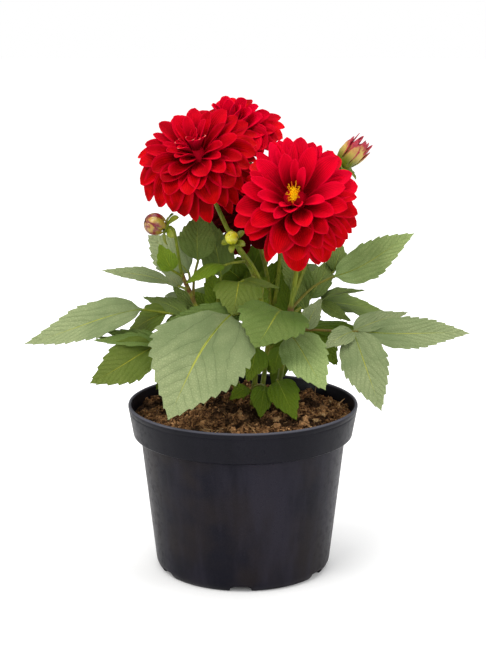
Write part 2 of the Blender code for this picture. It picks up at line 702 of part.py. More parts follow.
def build_opening_bud():
    """The half-open bud: narrow pointed petals round a core, just beginning to part."""
    base = Vector(OPENING_BUD_BASE)
    across, over, axis = axes_of(OPENING_BUD_AXIS)
    to_bud = Matrix((across, over, axis)).transposed()
    profile = ((0, 0), (5.5, 0), (8.2, 5), (7.6, 11), (4.5, 16), (0, 18))
    core = turned("bud_right_core", profile, 7)
    core.data.transform(Matrix.Translation((base + axis * GAP) * MM) @ to_bud.to_4x4())
    pieces = [core]
    draw = random.Random(5)
    for index in range(OPENING_BUD_PETALS):
        outer = index % 2
        turn = 2 * math.pi * index / OPENING_BUD_PETALS + draw.uniform(-0.08, 0.08)
        outward = across * math.cos(turn) + over * math.sin(turn)
        side = axis.cross(outward)
        length = OPENING_BUD_LENGTH * (0.86 if outer else 1.0) * draw.uniform(0.92, 1.05)
        stations = []
        steps = ((0.06, 5.4, 2.2), (0.46, 9.2, 4.2), (1.0, 6.5 + 3 * outer, 0))
        for along, reach, half in steps:
            rib = base + axis * length * along + outward * reach
            stations.append((rib, side, -outward, half, half, 0.5 * (along > 0.2), PETAL_THICKNESS))
        points, faces = blade_surface(stations)
        pieces.append(solid(f"bud_right_petal_{index}", points, faces))
    thing = fuse("bud_right", pieces)
    finish(thing, BUD_BLUSH, 50)


def build_disc():
    """The yellow middle of the right bloom: short florets on a low dome."""
    bloom = BLOOMS["bloom_right"]
    across, over, axis = axes_of(bloom.axis)
    to_disc = Matrix((across, over, axis)).transposed()
    base = Vector(bloom.centre) + axis * (bloom.core_height * math.cos(math.radians(CORE_TOP_DEGREES)) + GAP)
    dome = turned("disc_dome", ((0, 0), (DISC_RADIUS * 0.62, 0), (DISC_RADIUS * 0.5, 1.6), (0, 2.6)), 9)
    pieces = [dome]
    for index in range(DISC_FLORETS):
        share = math.sqrt((index + 0.5) / DISC_FLORETS)
        turn = index * GOLDEN_TURN
        reach = DISC_RADIUS * 0.55 * share
        floret = turned(f"disc_floret_{index}", ((0, 0), (0.8, 0), (0.9, 3.6 - share), (0, 4.8 - share)), 5)
        lean = Matrix.Rotation(0.5 * share, 4, Vector((-math.sin(turn), math.cos(turn), 0)))
        place = Vector((reach * math.cos(turn), reach * math.sin(turn), 0.5)) * MM
        floret.data.transform(Matrix.Translation(place) @ lean)
        pieces.append(floret)
    thing = fuse("disc_right_bloom", pieces)
    thing.data.transform(Matrix.Translation(base * MM) @ to_disc.to_4x4())
    finish(thing, DISC_YELLOW)


def build_stem(name):
    """A stem with its side shoots, and the green cups and bracts of the blooms and buds that it carries."""
    stem = STEMS[name]
    stalks = [stem] + [shoot for shoot in SHOOTS.values() if shoot.stem == name]
    pieces = [tube(name, stem_path(stem), stem.foot_radius, stem.top_radius)]
    for shoot in stalks[1:]:
        path = smooth_path([*shoot.path, *neck_of(shoot.carries)], 2)
        pieces.append(tube(shoot.carries + "_shoot", path, shoot.foot_radius, shoot.top_radius))
    for stalk in stalks:
        if stalk.carries in BLOOMS:
            bloom = BLOOMS[stalk.carries]
            pieces += calyx(stalk.carries, stalk.top_radius, bloom.bracts, BLOOM_BRACT_LENGTH, BLOOM_BRACT_SPREAD)
        elif stalk.carries in BUDS:
            bud = BUDS[stalk.carries]
            pieces += calyx(stalk.carries, stalk.top_radius, 5, bud.bract_length, bud.spread)
        else:
            pieces += calyx(stalk.carries, stalk.top_radius, 6, OPENING_BUD_BRACT_LENGTH, OPENING_BUD_SPREAD)
    thing = fuse(name, pieces)
    finish(thing, STEM_GREEN)


def build_pot():
    """The pot: a thin wall that steps out to a deep rim band, on a notched foot ring."""
    band_foot = POT_HEIGHT - RIM_BAND_HEIGHT
    ring_inner = FOOT_RING_RADIUS - FOOT_RING_WIDTH
    profile = (
        (0, 0),
        (FOOT_DISC_RADIUS, 0),
        (FOOT_DISC_RADIUS + 1, FLOOR_UNDERSIDE),
        (ring_inner - 1, FLOOR_UNDERSIDE),
        (ring_inner, 0),
        (FOOT_RING_RADIUS, 0),
        (BODY_FOOT_RADIUS, 7),
        (BODY_TOP_RADIUS, band_foot - 3),
        (RIM_BAND_FOOT_RADIUS, band_foot),
        (RIM_RADIUS - 0.4, POT_HEIGHT - 4),
        (RIM_RADIUS, POT_HEIGHT - 1.4),
        (RIM_RADIUS - 1, POT_HEIGHT),
        (RIM_RADIUS - 2.2, POT_HEIGHT),
        (RIM_BAND_FOOT_RADIUS - WALL, band_foot + 2),
        (BODY_TOP_RADIUS - WALL, band_foot - 2),
        (BODY_FOOT_RADIUS - WALL, FLOOR_UNDERSIDE + WALL),
        (0, FLOOR_UNDERSIDE + WALL),
    )
    pot = turned("pot", profile, POT_SIDES)
    cutters = []
    for index in range(NOTCHES):
        turn = math.radians(FIRST_NOTCH_DEGREES + index * 360 / NOTCHES)
        place = Matrix.Rotation(turn, 4, "Z")
        near = ring_inner - 3
        far = BODY_FOOT_RADIUS + 4
        low = NOTCH_WIDTH / 2 + NOTCH_FLARE / 2
        high = NOTCH_WIDTH / 2 - NOTCH_FLARE / 2
        points = [
            (near, -low, -1), (near, low, -1), (near, high, NOTCH_HEIGHT - 0.6), (near, -high, NOTCH_HEIGHT - 0.6),
            (far, -low, -1), (far, low, -1), (far, high, NOTCH_HEIGHT - 0.6), (far, -high, NOTCH_HEIGHT - 0.6),
        ]
        faces = [(0, 1, 2, 3), (7, 6, 5, 4), (0, 4, 5, 1), (1, 5, 6, 2), (2, 6, 7, 3), (3, 7, 4, 0)]
        notch = solid(f"notch_{index}", points, faces)
        notch.data.transform(place)
        cutters.append(notch)
        drain = turned(
            f"drain_{index}",
            ((0, FLOOR_UNDERSIDE - 2), (DRAIN_RADIUS, FLOOR_UNDERSIDE - 2),
             (DRAIN_RADIUS, FLOOR_UNDERSIDE + WALL + 2), (0, FLOOR_UNDERSIDE + WALL + 2)),
            8,
        )
        drain.data.transform(place @ Matrix.Translation(Vector((DRAIN_RING_RADIUS, 0, 0)) * MM))
        cutters.append(drain)
    combine(pot, cutters, "DIFFERENCE", "EXACT")
    finish(pot, BLACK_PLASTIC)


def build_soil():
    """The soil: it fills the pot, with an uneven top and a plain hole for each stem."""
    band_foot = POT_HEIGHT - RIM_BAND_HEIGHT
    wall_profile = (
        (0, FLOOR_UNDERSIDE + WALL + GAP),
        (BODY_FOOT_RADIUS - WALL - GAP, FLOOR_UNDERSIDE + WALL + GAP),
        (BODY_TOP_RADIUS - WALL - GAP, band_foot - 2 + GAP),
        (RIM_BAND_FOOT_RADIUS - WALL - GAP, band_foot + 2 + 1.5 * GAP),
    )
    profile = list(wall_profile)
    for radius in SOIL_RINGS:
        profile.append((radius, SOIL_EDGE_HEIGHT + SOIL_MOUND * (1 - (radius / SOIL_RINGS[0]) ** 2)))
    profile.append((0, SOIL_EDGE_HEIGHT + SOIL_MOUND))
    soil = turned("soil", profile, POT_SIDES)
    for vertex in soil.data.vertices:
        radius = math.hypot(vertex.co.x, vertex.co.y) / MM
        if vertex.co.z / MM > band_foot + 4 and radius < SOIL_RINGS[0] - 1:
            place = vertex.co / MM
            vertex.co.z += MM * SOIL_RELIEF * (noise.noise(place / 9) + 0.6 * noise.noise(place / 4))
            vertex.co.x += MM * 2.2 * noise.noise(place / 7 + Vector((40, 0, 0)))
            vertex.co.y += MM * 2.2 * noise.noise(place / 7 + Vector((0, 40, 0)))
    cutters = []
    for name, stem in STEMS.items():
        hole_radius = stem.foot_radius + 2 * GAP
        top = SOIL_EDGE_HEIGHT + SOIL_MOUND + 12
        hole = turned(
            name + "_hole",
            ((0, STEM_FOOT - GAP), (hole_radius, STEM_FOOT - GAP), (hole_radius, top), (0, top)),
            10,
        )
        hole.data.transform(Matrix.Translation(Vector((*stem.foot, 0)) * MM))
        cutters.append(hole)
    combine(soil, cutters, "DIFFERENCE", "EXACT")
    finish(soil, DARK_SOIL, 60)


def main():
    clear_scene()
    build_pot()
    build_soil()
    for name in STEMS:
        build_stem(name)
    for name, leaf in LEAVES.items():
        build_leaf(name, leaf)
    for name in BLOOMS:
        build_bloom(name)
    build_disc()
    for name in BUDS:
        build_round_bud(name)
    build_opening_bud()


main()
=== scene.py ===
# %% [markdown]
# # A potted dahlia, dressed
# The object is a black nursery pot of dark soil with a bushy dahlia in it: four red blooms, three buds and
# about sixty toothed leaflets. The engineering model gives the frame, and each of its nodes is replaced
# here by a finer piece that keeps its place and form. What repeats on a plant (a leaflet, a petal, a stalk,
# a crumb of soil) is modelled once by hand, and every copy of it is then laid where it grows, with its own
# mesh.

# %% Load the fixed frame
import math
import random
from collections import namedtuple

import bmesh
import bpy
from mathutils import Matrix, Vector
from mathutils.bvhtree import BVHTree


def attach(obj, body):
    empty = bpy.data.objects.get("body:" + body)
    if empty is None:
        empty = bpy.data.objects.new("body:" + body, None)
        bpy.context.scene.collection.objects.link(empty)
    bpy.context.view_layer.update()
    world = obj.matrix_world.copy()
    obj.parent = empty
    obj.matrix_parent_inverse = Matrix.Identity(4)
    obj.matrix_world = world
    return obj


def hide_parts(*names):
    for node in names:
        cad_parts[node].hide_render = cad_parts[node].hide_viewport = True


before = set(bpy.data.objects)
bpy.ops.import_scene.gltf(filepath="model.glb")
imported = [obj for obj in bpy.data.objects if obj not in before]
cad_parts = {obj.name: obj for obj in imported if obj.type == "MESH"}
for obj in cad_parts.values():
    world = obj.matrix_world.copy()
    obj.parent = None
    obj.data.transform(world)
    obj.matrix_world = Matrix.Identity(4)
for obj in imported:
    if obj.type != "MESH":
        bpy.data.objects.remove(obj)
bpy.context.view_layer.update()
MM = 0.001
UP = Vector((0, 0, 1))
FRONT = Vector((0, -0.97, 0.23))
FULL_TURN = 2 * math.pi
GOLDEN_TURN = math.pi * (3 - math.sqrt(5))
print("nodes to dress:", len(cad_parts))

# %% [markdown]
# ## The view first
# A plant is judged in its light, so the camera and the lights come before any piece. The photograph was
# taken with a long lens from a little above the rim of the pot, in front of white paper, with large soft
# lamps. Two area lamps from above do most of the work, a lower one in front opens the shadows under the
# blooms, and a strip at each side gives the black pot its soft upright reflections. Small lamps would give
# hard shadows that the photograph doesn't have.

# %% Camera and lamps
CAMERA_TARGET = Vector((0, 0, 0.1965))
CAMERA_PITCH = math.radians(13.2)
CAMERA_DISTANCE = 1.4
LENS, SENSOR = 91.6, 36
SKY_LIGHT = 0.42
PICTURE = (486, 670)


def stand(name, data, place, aim):
    """Puts a camera or a lamp at a place, looking at a point."""
    holder = bpy.data.objects.new(name, data)
    holder.location = place
    holder.rotation_euler = (Vector(aim) - Vector(place)).to_track_quat("-Z", "Y").to_euler()
    bpy.context.scene.collection.objects.link(holder)
    return holder


def soft_lamp(name, place, aim, size, power, colour):
    light = bpy.data.lights.new(name, "AREA")
    light.shape, light.size = "SQUARE", size
    light.energy, light.color = power, colour
    stand(name, light, place, aim)


eye = bpy.data.cameras.new("eye")
eye.lens, eye.sensor_fit, eye.sensor_height = LENS, "VERTICAL", SENSOR
backwards = Vector((0, -math.cos(CAMERA_PITCH), math.sin(CAMERA_PITCH)))
camera = stand("eye", eye, CAMERA_TARGET + backwards * CAMERA_DISTANCE, CAMERA_TARGET)
bpy.context.scene.camera = camera
soft_lamp("key_softbox", (-0.7, -1.0, 1.55), (0, 0, 0.22), 0.9, 17, (1, 0.99, 0.97))
soft_lamp("top_softbox", (0.1, 0.2, 1.7), (0, 0, 0.2), 1.1, 18, (1, 1, 1))
soft_lamp("front_softbox", (0.5, -1.7, 0.9), (0, 0, 0.28), 0.9, 7.5, (1, 1, 0.99))
soft_lamp("left_strip", (-1.3, -0.3, 0.35), (0, 0, 0.14), 0.4, 4, (1, 0.98, 0.96))
soft_lamp("right_strip", (1.3, -0.55, 0.4), (0, 0, 0.16), 0.45, 3.5, (0.97, 0.98, 1))

sky = bpy.data.worlds.new("paper_white")
sky.use_nodes = True
backdrop = sky.node_tree.nodes["Background"]
backdrop.inputs["Color"].default_value = (1, 1, 1, 1)
seen = sky.node_tree.nodes.new("ShaderNodeLightPath")
glow = sky.node_tree.nodes.new("ShaderNodeMapRange")
glow.inputs["To Min"].default_value = SKY_LIGHT
glow.inputs["To Max"].default_value = 1.0
sky.node_tree.links.new(seen.outputs["Is Camera Ray"], glow.inputs["Value"])
sky.node_tree.links.new(glow.outputs[0], backdrop.inputs["Strength"])
bpy.context.scene.world = sky
bpy.context.scene.view_settings.view_transform = "Standard"
bpy.context.scene.view_settings.look = "None"
print("camera at", [round(value, 3) for value in camera.location])

# %% [markdown]
# ## Hands on a mesh
# Modelling by hand is always the same few moves: take one piece up, open its mesh, pick some corners by
# where they are, pull them, close the mesh again. These helpers do only that, so the cells below read like
# the moves themselves. Everything is let go of first, because a new primitive or a loaded node may still be
# selected.

# %% Take up, open, pick, close
TOUCHING = 1e-6


def take_up(*pieces):
    """Closes any open mesh and selects only these pieces, the first of them active."""
    if bpy.context.object and bpy.context.object.mode == "EDIT":
        bpy.ops.object.mode_set(mode="OBJECT")
    bpy.ops.object.select_all(action="DESELECT")
    for piece in pieces:
        piece.select_set(True)
    if pieces:
        bpy.context.view_layer.objects.active = pieces[0]


def open_mesh(piece):
    take_up(piece)
    bpy.ops.object.mode_set(mode="EDIT")
    bpy.ops.mesh.select_mode(type="VERT")
    bpy.ops.mesh.select_all(action="SELECT")


def start_from(primitive, name, **settings):
    """Adds a primitive at the origin, names it and opens its mesh."""
    take_up()
    primitive(location=(0, 0, 0), **settings)
    piece = bpy.context.object
    piece.name = name
    open_mesh(piece)
    return piece


def pick(piece, test):
    """Selects only those corners of the open mesh whose place passes the test."""
    body = bmesh.from_edit_mesh(piece.data)
    for corner in body.verts:
        corner.select = test(corner.co)
    body.select_flush_mode()
    bmesh.update_edit_mesh(piece.data)


def close_mesh(piece, outwards=True):
    """Merges what lies together, turns the faces outwards and closes the mesh."""
    bpy.ops.mesh.select_all(action="SELECT")
    bpy.ops.mesh.remove_doubles(threshold=TOUCHING)
    if outwards:
        bpy.ops.mesh.normals_make_consistent(inside=False)
    bpy.ops.object.mode_set(mode="OBJECT")
    return piece


def join(name, pieces):
    """Makes one piece of several."""
    take_up(*pieces)
    if len(pieces) > 1:
        bpy.ops.object.join()
    whole = bpy.context.object
    whole.name = whole.data.name = name
    return whole


def add_modifier(piece, kind, **settings):
    modifier = piece.modifiers.new(kind.lower(), kind)
    for key, value in settings.items():
        setattr(modifier, key, value)


def apply_all(piece):
    take_up(piece)
    for modifier in list(piece.modifiers):
        bpy.ops.object.modifier_apply(modifier=modifier.name)


def throw_away(*pieces):
    for piece in pieces:
        bpy.data.objects.remove(piece, do_unlink=True)

# %% Lay a copy, turn a body, dress a node
def laid(unit, name, rule, **marks):
    """A copy of a unit with its own mesh: the rule moves each corner, in millimetres; marks are its tints."""
    mesh = unit.data.copy()
    piece = bpy.data.objects.new(name, mesh)
    bpy.context.scene.collection.objects.link(piece)
    for corner in mesh.vertices:
        corner.co = rule(corner.co) * MM
    for mark, value in marks.items():
        layer = mesh.attributes.new(mark, "FLOAT", "POINT")
        for index, corner in enumerate(unit.data.vertices):
            layer.data[index].value = value(corner.co) if callable(value) else value
    return piece


def turned(name, rings, sides, unit=MM):
    """A closed turned body, extruded from a circle through rings that each have a radius and a height."""
    (first_radius, bottom), *_ = rings
    piece = start_from(bpy.ops.mesh.primitive_circle_add, name, vertices=sides, radius=first_radius * unit)
    bpy.ops.transform.translate(value=(0, 0, bottom * unit))
    for (radius, height), (next_radius, next_height) in zip(rings, rings[1:]):
        rise = (next_height - height) * unit
        growth = next_radius / radius
        bpy.ops.mesh.extrude_region_move(TRANSFORM_OT_translate={"value": (0, 0, rise)})
        bpy.ops.transform.resize(value=(growth, growth, 1), center_override=(0, 0, 0))
    bpy.ops.mesh.edge_face_add()
    pick(piece, lambda place: (
        abs(place.z - bottom * unit) < TOUCHING
        and math.hypot(place.x, place.y) < first_radius * unit + TOUCHING
    ))
    bpy.ops.mesh.edge_face_add()
    return close_mesh(piece)


def axes_of(axis):
    """Two directions square to an axis, and the axis itself."""
    axis = Vector(axis).normalized()
    across = axis.cross(UP).normalized()
    return across, axis.cross(across).normalized(), axis


def set_on(piece, place, axes):
    """Stands a piece that was modelled upright on a place, in millimetres, along other axes."""
    piece.data.transform(Matrix.Translation(place * MM) @ Matrix(axes).transposed().to_4x4())
    return piece


def ring_direction(across, over, turn):
    return across * math.cos(turn) + over * math.sin(turn)


def finished(piece, *finishes):
    piece.data.materials.clear()
    for finish in finishes:
        piece.data.materials.append(finish)
    return piece


def dress(piece, node, smooth_degrees):
    """Puts a finished piece in the place of a node of the engineering model."""
    take_up(piece)
    bpy.ops.object.shade_smooth_by_angle(angle=math.radians(smooth_degrees))
    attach(piece, "root")
    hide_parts(node)
    print(piece.name, "faces:", len(piece.data.polygons))

# %% [markdown]
# ## Finishes are built from a few effects
# Leaves, petals, plastic and soil all need patches of tone and a fine grain, and every leaf needs the same
# veins. An effect that several finishes share is made once as a node group that puts out masks and heights;
# each material then mixes its own colours with it. The shaders stay in the materials. A node's output is
# wrapped here as a Signal that can be added and multiplied like a number, so that a finish reads as a sum
# and not as a heap of maths nodes.

# %% Wiring helpers
class Signal:
    """A node's output; calculating with it adds a maths node to its tree."""

    def __init__(self, socket):
        self.socket = socket

    def __add__(self, other):
        return maths("ADD", self, other)

    def __sub__(self, other):
        return maths("SUBTRACT", self, other)

    def __rsub__(self, other):
        return maths("SUBTRACT", other, self)

    def __mul__(self, other):
        return maths("MULTIPLY", self, other)

    def __truediv__(self, other):
        return maths("DIVIDE", self, other)

    def __pow__(self, other):
        return maths("POWER", self, other)

    def __abs__(self):
        return maths("ABSOLUTE", self)


def wire(socket, value):
    """Links a signal to a socket, or sets the socket to a number, a place or a colour."""
    if isinstance(value, Signal):
        socket.id_data.links.new(value.socket, socket)
    else:
        socket.default_value = (*value, 1)[:4] if socket.type == "RGBA" else value


def add_node(tree, kind, settings=(), **inputs):
    made = tree.nodes.new("ShaderNode" + kind)
    for key, value in dict(settings).items():
        setattr(made, key, value)
    for key, value in inputs.items():
        wire(made.inputs[key.replace("_", " ")], value)
    return made


def read(tree, kind, output, settings=(), **inputs):
    """The named output of a new node."""
    return Signal(add_node(tree, kind, settings, **inputs).outputs[output])


def maths(operation, *values):
    tree = next(value.socket.id_data for value in values if isinstance(value, Signal))
    made = add_node(tree, "Math", {"operation": operation})
    for socket, value in zip(made.inputs, values):
        wire(socket, value)
    return Signal(made.outputs[0])


def between(value, low, high):
    """0 below low, 1 above high, with a soft step from one to the other."""
    tree = value.socket.id_data
    soft = {"interpolation_type": "SMOOTHSTEP"}
    return read(tree, "MapRange", "Result", soft, Value=value, From_Min=low, From_Max=high)


def blend(share, first, second):
    """One colour going over into another."""
    made = add_node(share.socket.id_data, "Mix", {"data_type": "RGBA"})
    for index, value in ((0, share), (6, first), (7, second)):
        wire(made.inputs[index], value)
    return Signal(made.outputs[2])


def object_place(tree):
    return read(tree, "TexCoord", "Object")


def noise(place, size, detail, roughness=0.5):
    tree = place.socket.id_data
    return read(tree, "TexNoise", "Fac", Vector=place, Scale=size, Detail=detail, Roughness=roughness)


def stretched(place, scale):
    return read(place.socket.id_data, "Mapping", "Vector", Vector=place, Scale=scale)

# %% A material under its finish
class Finish:
    """A material, its tree and its shader; what is the same all over is set on the shader itself."""

    def __init__(self, name, **constants):
        self.material = bpy.data.materials.new(name)
        self.material.use_nodes = True
        self.tree = self.material.node_tree
        self.shader = self.tree.nodes["Principled BSDF"]
        for key, value in constants.items():
            wire(self.shader.inputs[key.replace("_", " ")], value)

    def effect(self, effect, **inputs):
        """Places a shared effect and gives its outputs by name."""
        made = self.tree.nodes.new("ShaderNodeGroup")
        made.node_tree = effect
        for key, value in inputs.items():
            wire(made.inputs[key], value)
        return {output.name: Signal(output) for output in made.outputs}

    def mark(self, name):
        """A tint that was given to each piece when it was laid."""
        return read(self.tree, "Attribute", "Fac", {"attribute_name": name})

    def colour(self, value):
        wire(self.shader.inputs["Base Color"], value)

    def roughness(self, value):
        wire(self.shader.inputs["Roughness"], value)

    def bump(self, height, strength, distance_mm):
        depth = distance_mm * MM
        raised = read(self.tree, "Bump", "Normal", Height=height, Strength=strength, Distance=depth)
        wire(self.shader.inputs["Normal"], raised)

    def add_shader(self, other, joint, first_input):
        """Sends the Principled shader and another one through a joining node to the surface."""
        for step, shader in enumerate((self.shader, other)):
            self.tree.links.new(shader.outputs[0], joint.inputs[first_input + step])
        self.tree.links.new(joint.outputs[0], self.tree.nodes["Material Output"].inputs["Surface"])

# %% Effects that the finishes share
def new_effect(name, inputs, outputs):
    """An empty node group, its inputs as signals, and the function that wires its outputs."""
    effect = bpy.data.node_groups.new(name, "ShaderNodeTree")
    for socket, value in inputs.items():
        made = effect.interface.new_socket(name=socket, in_out="INPUT", socket_type="NodeSocketFloat")
        made.default_value = value
    for socket in outputs:
        effect.interface.new_socket(name=socket, in_out="OUTPUT", socket_type="NodeSocketFloat")
    entry = effect.nodes.new("NodeGroupInput")
    given = {output.name: Signal(output) for output in entry.outputs if output.name}
    result = effect.nodes.new("NodeGroupOutput")

    def give(*values):
        for socket, value in zip(outputs, values):
            wire(result.inputs[socket], value)
        return effect

    return effect, given, give


def blade_share(tree, axis):
    """How far a point lies along a blade (X) or across it (Y), from the blade's own map."""
    return read(tree, "SeparateXYZ", axis, Vector=read(tree, "TexCoord", "UV"))


def blade_map(tree):
    """How far a point lies along a blade, across it, and away from its midrib."""
    across = blade_share(tree, "Y")
    return blade_share(tree, "X"), across, abs(across * 2 - 1)


def make_patches():
    """Soft patches of tone; Size is how many patches fit in a metre."""
    effect, given, give = new_effect("patches", {"Size": 40.0}, ("Patch", "Fleck"))
    place = object_place(effect)
    wide = noise(place, given["Size"], 3, 0.55)
    small = noise(place, given["Size"] * 9, 2, 0.6)
    return give(between(wide, 0.36, 0.64), between(small, 0.42, 0.7))


def make_grain():
    """A fine even grain, as on moulded plastic or a leaf's skin."""
    effect, given, give = new_effect("grain", {"Size": 900.0}, ("Grain",))
    return give(noise(object_place(effect), given["Size"], 4, 0.6))


# A leaflet's outline is its share of the length to the power 0.75 times the rest of it to 1.25, scaled to 1
OUTLINE_SCALE = 3.755


def make_veins():
    """A leaflet's midrib, side veins and the quilting between them, and how far along it a point lies."""
    effect, given, give = new_effect(
        "leaf_veins", {"Pairs": 8.0, "Width": 0.05}, ("Midrib", "Veins", "Quilt", "Along"),
    )
    along, _, away = blade_map(effect)
    midrib = 1 - between(away / (1 - along * 0.6), 0.008, 0.036)
    outline = (1 - along) ** 1.25 * along ** 0.75 * OUTLINE_SCALE
    slanted = along - (away * outline) ** 1.1 * 0.62
    off = abs(maths("FRACT", slanted * given["Pairs"]) - 0.5)
    line = 1 - between(off, 0.0, given["Width"])
    fading = 1 - between(away, 0.6, 1.0)
    return give(midrib, line * fading * between(slanted, -0.3, -0.15), between(off, 0.0, 0.42), along)


def make_net():
    """The fine net of veinlets that puckers a leaf between its side veins."""
    effect, given, give = new_effect("veinlet_net", {"Size": 420.0}, ("Net",))
    edges = {"feature": "DISTANCE_TO_EDGE"}
    cells = read(effect, "TexVoronoi", "Distance", edges, Vector=object_place(effect), Scale=given["Size"])
    return give(between(cells, 0.0, 0.28))


def make_petal_lines():
    """Fine lengthwise lines, the rolled edges, the hollow at the root and the tip of a petal."""
    effect, given, give = new_effect("petal_lines", {"Lines": 13.0}, ("Line", "Edge", "Root", "Tip"))
    along, across, away = blade_map(effect)
    ridge = abs(maths("FRACT", across * given["Lines"]) - 0.5)
    return give(
        between(ridge, 0.05, 0.5), between(away, 0.62, 1.0),
        1 - between(along, 0.1, 0.66), between(along, 0.78, 1.0),
    )


patches, grain, leaf_veins, veinlet_net, petal_lines = (
    make_patches(), make_grain(), make_veins(), make_net(), make_petal_lines(),
)
print("shared effects:", [effect.name for effect in (patches, grain, leaf_veins, veinlet_net, petal_lines)])

# %% [markdown]
# ## The pot
# The real pot is blown and moulded from recycled black plastic: a thin cone, a step out to a deep rim band
# with a rolled lip, and a notched foot ring. A turned body is the natural way, by extruding a circle from
# ring to ring, with a few more rings wherever the real edge is rounded. The notches and drain holes are cut
# last, as a tool would.

# %% Turn the pot
POT_SIDES = 128
POT_RINGS = (
    (16, 0), (16.6, 0.6), (17, 5), (64.6, 5), (65.5, 0.9), (66, 0), (68.6, 0), (69.6, 0.5), (71.4, 3),
    (72.6, 5.6), (73, 8), (78.8, 59), (84.5, 109.5), (84.8, 111.3), (85.6, 112), (89.9, 113.4),
    (90.7, 114.2), (91, 115.6), (94.1, 133), (94.35, 134.4), (94.2, 134.9), (94.75, 136.4), (95, 137.8),
    (95, 138.6), (94.6, 139.6), (93.9, 140), (93.2, 139.9), (92.6, 139.3), (92.3, 137.5), (89.1, 117),
    (88.6, 115.9), (83.4, 113.6), (82.8, 112), (71.2, 8), (70.2, 6.8), (20, 6.8),
)
NOTCHES = 6
NOTCH_SIZE = (12, 20, 9.8)
NOTCH_TAPER = 0.8
NOTCH_REACH, DRAIN_REACH = 71, 46
FIRST_NOTCH = math.radians(268.5)


def notch_cutter():
    notch = start_from(bpy.ops.mesh.primitive_cube_add, "notch", size=1)
    bpy.ops.transform.resize(value=[size * MM for size in NOTCH_SIZE], center_override=(0, 0, 0))
    pick(notch, lambda place: place.z > 0)
    bpy.ops.transform.resize(value=(1, NOTCH_TAPER, 1))
    return close_mesh(notch)


def cutter_ring(unit, reach):
    """Copies of a cutter set round the pot, one at each notch."""
    turns = [Matrix.Rotation(FIRST_NOTCH + index * FULL_TURN / NOTCHES, 3, "Z") for index in range(NOTCHES)]
    outwards = Vector((reach, 0, 0))
    return [laid(unit, unit.name, lambda place, turn=turn: turn @ (place / MM + outwards)) for turn in turns]


pot = turned("moulded_pot", POT_RINGS, POT_SIDES)
notch, drain = notch_cutter(), turned("drain", ((5, 3), (5, 9)), 16)
tool = join("tool", cutter_ring(notch, NOTCH_REACH) + cutter_ring(drain, DRAIN_REACH))
add_modifier(pot, "BOOLEAN", object=tool, operation="DIFFERENCE", solver="EXACT")
apply_all(pot)
throw_away(notch, drain, tool)
print("pot faces after the cuts:", len(pot.data.polygons))

# %% [markdown]
# ## Black plastic
# It is never quite black: thin bluish and brownish clouds lie in it, and the skin is satin. Handling has
# wiped pale upright smears and flecks on the body, less on the rim band, which is darker, and a pale line
# along the top of the lip is a painted highlight. The clouds and smears go to the colour and the roughness,
# and the grain to the bump.

# %% Finish the pot
BAND_FOOT = (0.111, 0.113)
LIP_EDGE = (0.1381, 0.1394)


def black_plastic():
    finish = Finish("black_plastic", Specular_IOR_Level=0.11)
    clouds = finish.effect(patches, Size=22.0)
    place = object_place(finish.tree)
    wiped = between(noise(stretched(place, (1, 1, 0.16)), 34.0, 7.0, 0.6), 0.4, 0.66)
    height = read(finish.tree, "SeparateXYZ", "Z", Vector=place)
    band = between(height, *BAND_FOOT)
    body = blend(clouds["Patch"], (0.0030, 0.0030, 0.0080), (0.0110, 0.0080, 0.0095))
    darker = blend(band, body, (0.0035, 0.0035, 0.0070))
    smeared = blend(wiped * (0.75 - band * 0.6), darker, (0.018, 0.016, 0.026))
    # Painted highlight: a pale line along the top of the lip.
    lit = blend(between(height, *LIP_EDGE) * 0.9, smeared, (0.084, 0.085, 0.106))
    speck = finish.effect(patches, Size=260.0)["Fleck"] * 0.07
    finish.colour(blend(speck, lit, (0.12, 0.11, 0.115)))
    finish.roughness(clouds["Fleck"] * 0.12 + (0.34 - wiped * 0.07) + speck)
    finish.bump(finish.effect(grain, Size=1500.0)["Grain"], 0.12, 0.25)
    return finish.material


dress(finished(pot, black_plastic()), "pot", 28)

# %% [markdown]
# ## Where everything grows
# The places below are the ones of the engineering model, in millimetres: a stem's points, a bloom's centre
# and axis, and for every leaflet where it leaves its stalk and where its tip hangs. The fine pieces follow
# the same numbers, so they stay inside the solids they stand for. Each leaf also names its finish, because
# a plant shows old, young and shaded leaves side by side.

# %% Stems, blooms and buds
# Stems: each stands straight in the soil, passes its points, and ends under the bloom or bud that it carries.
# Red is how much it reddens where leaves leave it.
Stem = namedtuple("Stem", "foot path foot_radius top_radius carries red")
STEMS = {
    "stem_left_bloom": Stem(
        (8, 6), ((12, 8, 180), (15, 8, 222), (8, 10, 247), (-3, 12, 265), (-12, 14, 281), (-20, 16, 298)),
        3.2, 2.3, "bloom_left", 0.45,
    ),
    "stem_right_bloom": Stem(
        (27, 3), ((34, 6, 180), (40, 7, 222), (43, 8, 243), (46, 5, 266), (46.5, -4, 284)),
        3.4, 2.5, "bloom_right", 0.8,
    ),
    "stem_back_bloom": Stem(
        (15, 21), ((22, 34, 185), (30, 54, 236), (30, 70, 268), (16, 83, 298)), 3.0, 2.2, "bloom_back", 0.25,
    ),
    "stem_left_bud": Stem(
        (0, 12), ((-10, 9, 168), (-24, 7, 195), (-37, 4, 217), (-44, 0, 234), (-50, -4, 250), (-53, -9, 270)),
        2.8, 1.7, "bud_left", 0.95,
    ),
}

# Side shoots grow out of a stem and are one piece with it
Shoot = namedtuple("Shoot", "stem path foot_radius top_radius carries")
SHOOTS = (
    Shoot(
        "stem_left_bloom", ((14.6, 8, 224), (15, 3, 238), (8, -5, 255), (-1, -11, 269)),
        1.8, 1.2, "bud_green",
    ),
    Shoot(
        "stem_right_bloom", ((40.4, 7.2, 226), (50, 13, 250), (62, 22, 285), (72, 23, 312)),
        2.0, 1.6, "bud_right",
    ),
    Shoot("stem_back_bloom", ((23.6, 39, 200), (21, 52, 232), (15, 62, 257)), 2.0, 1.7, "bloom_low"),
)

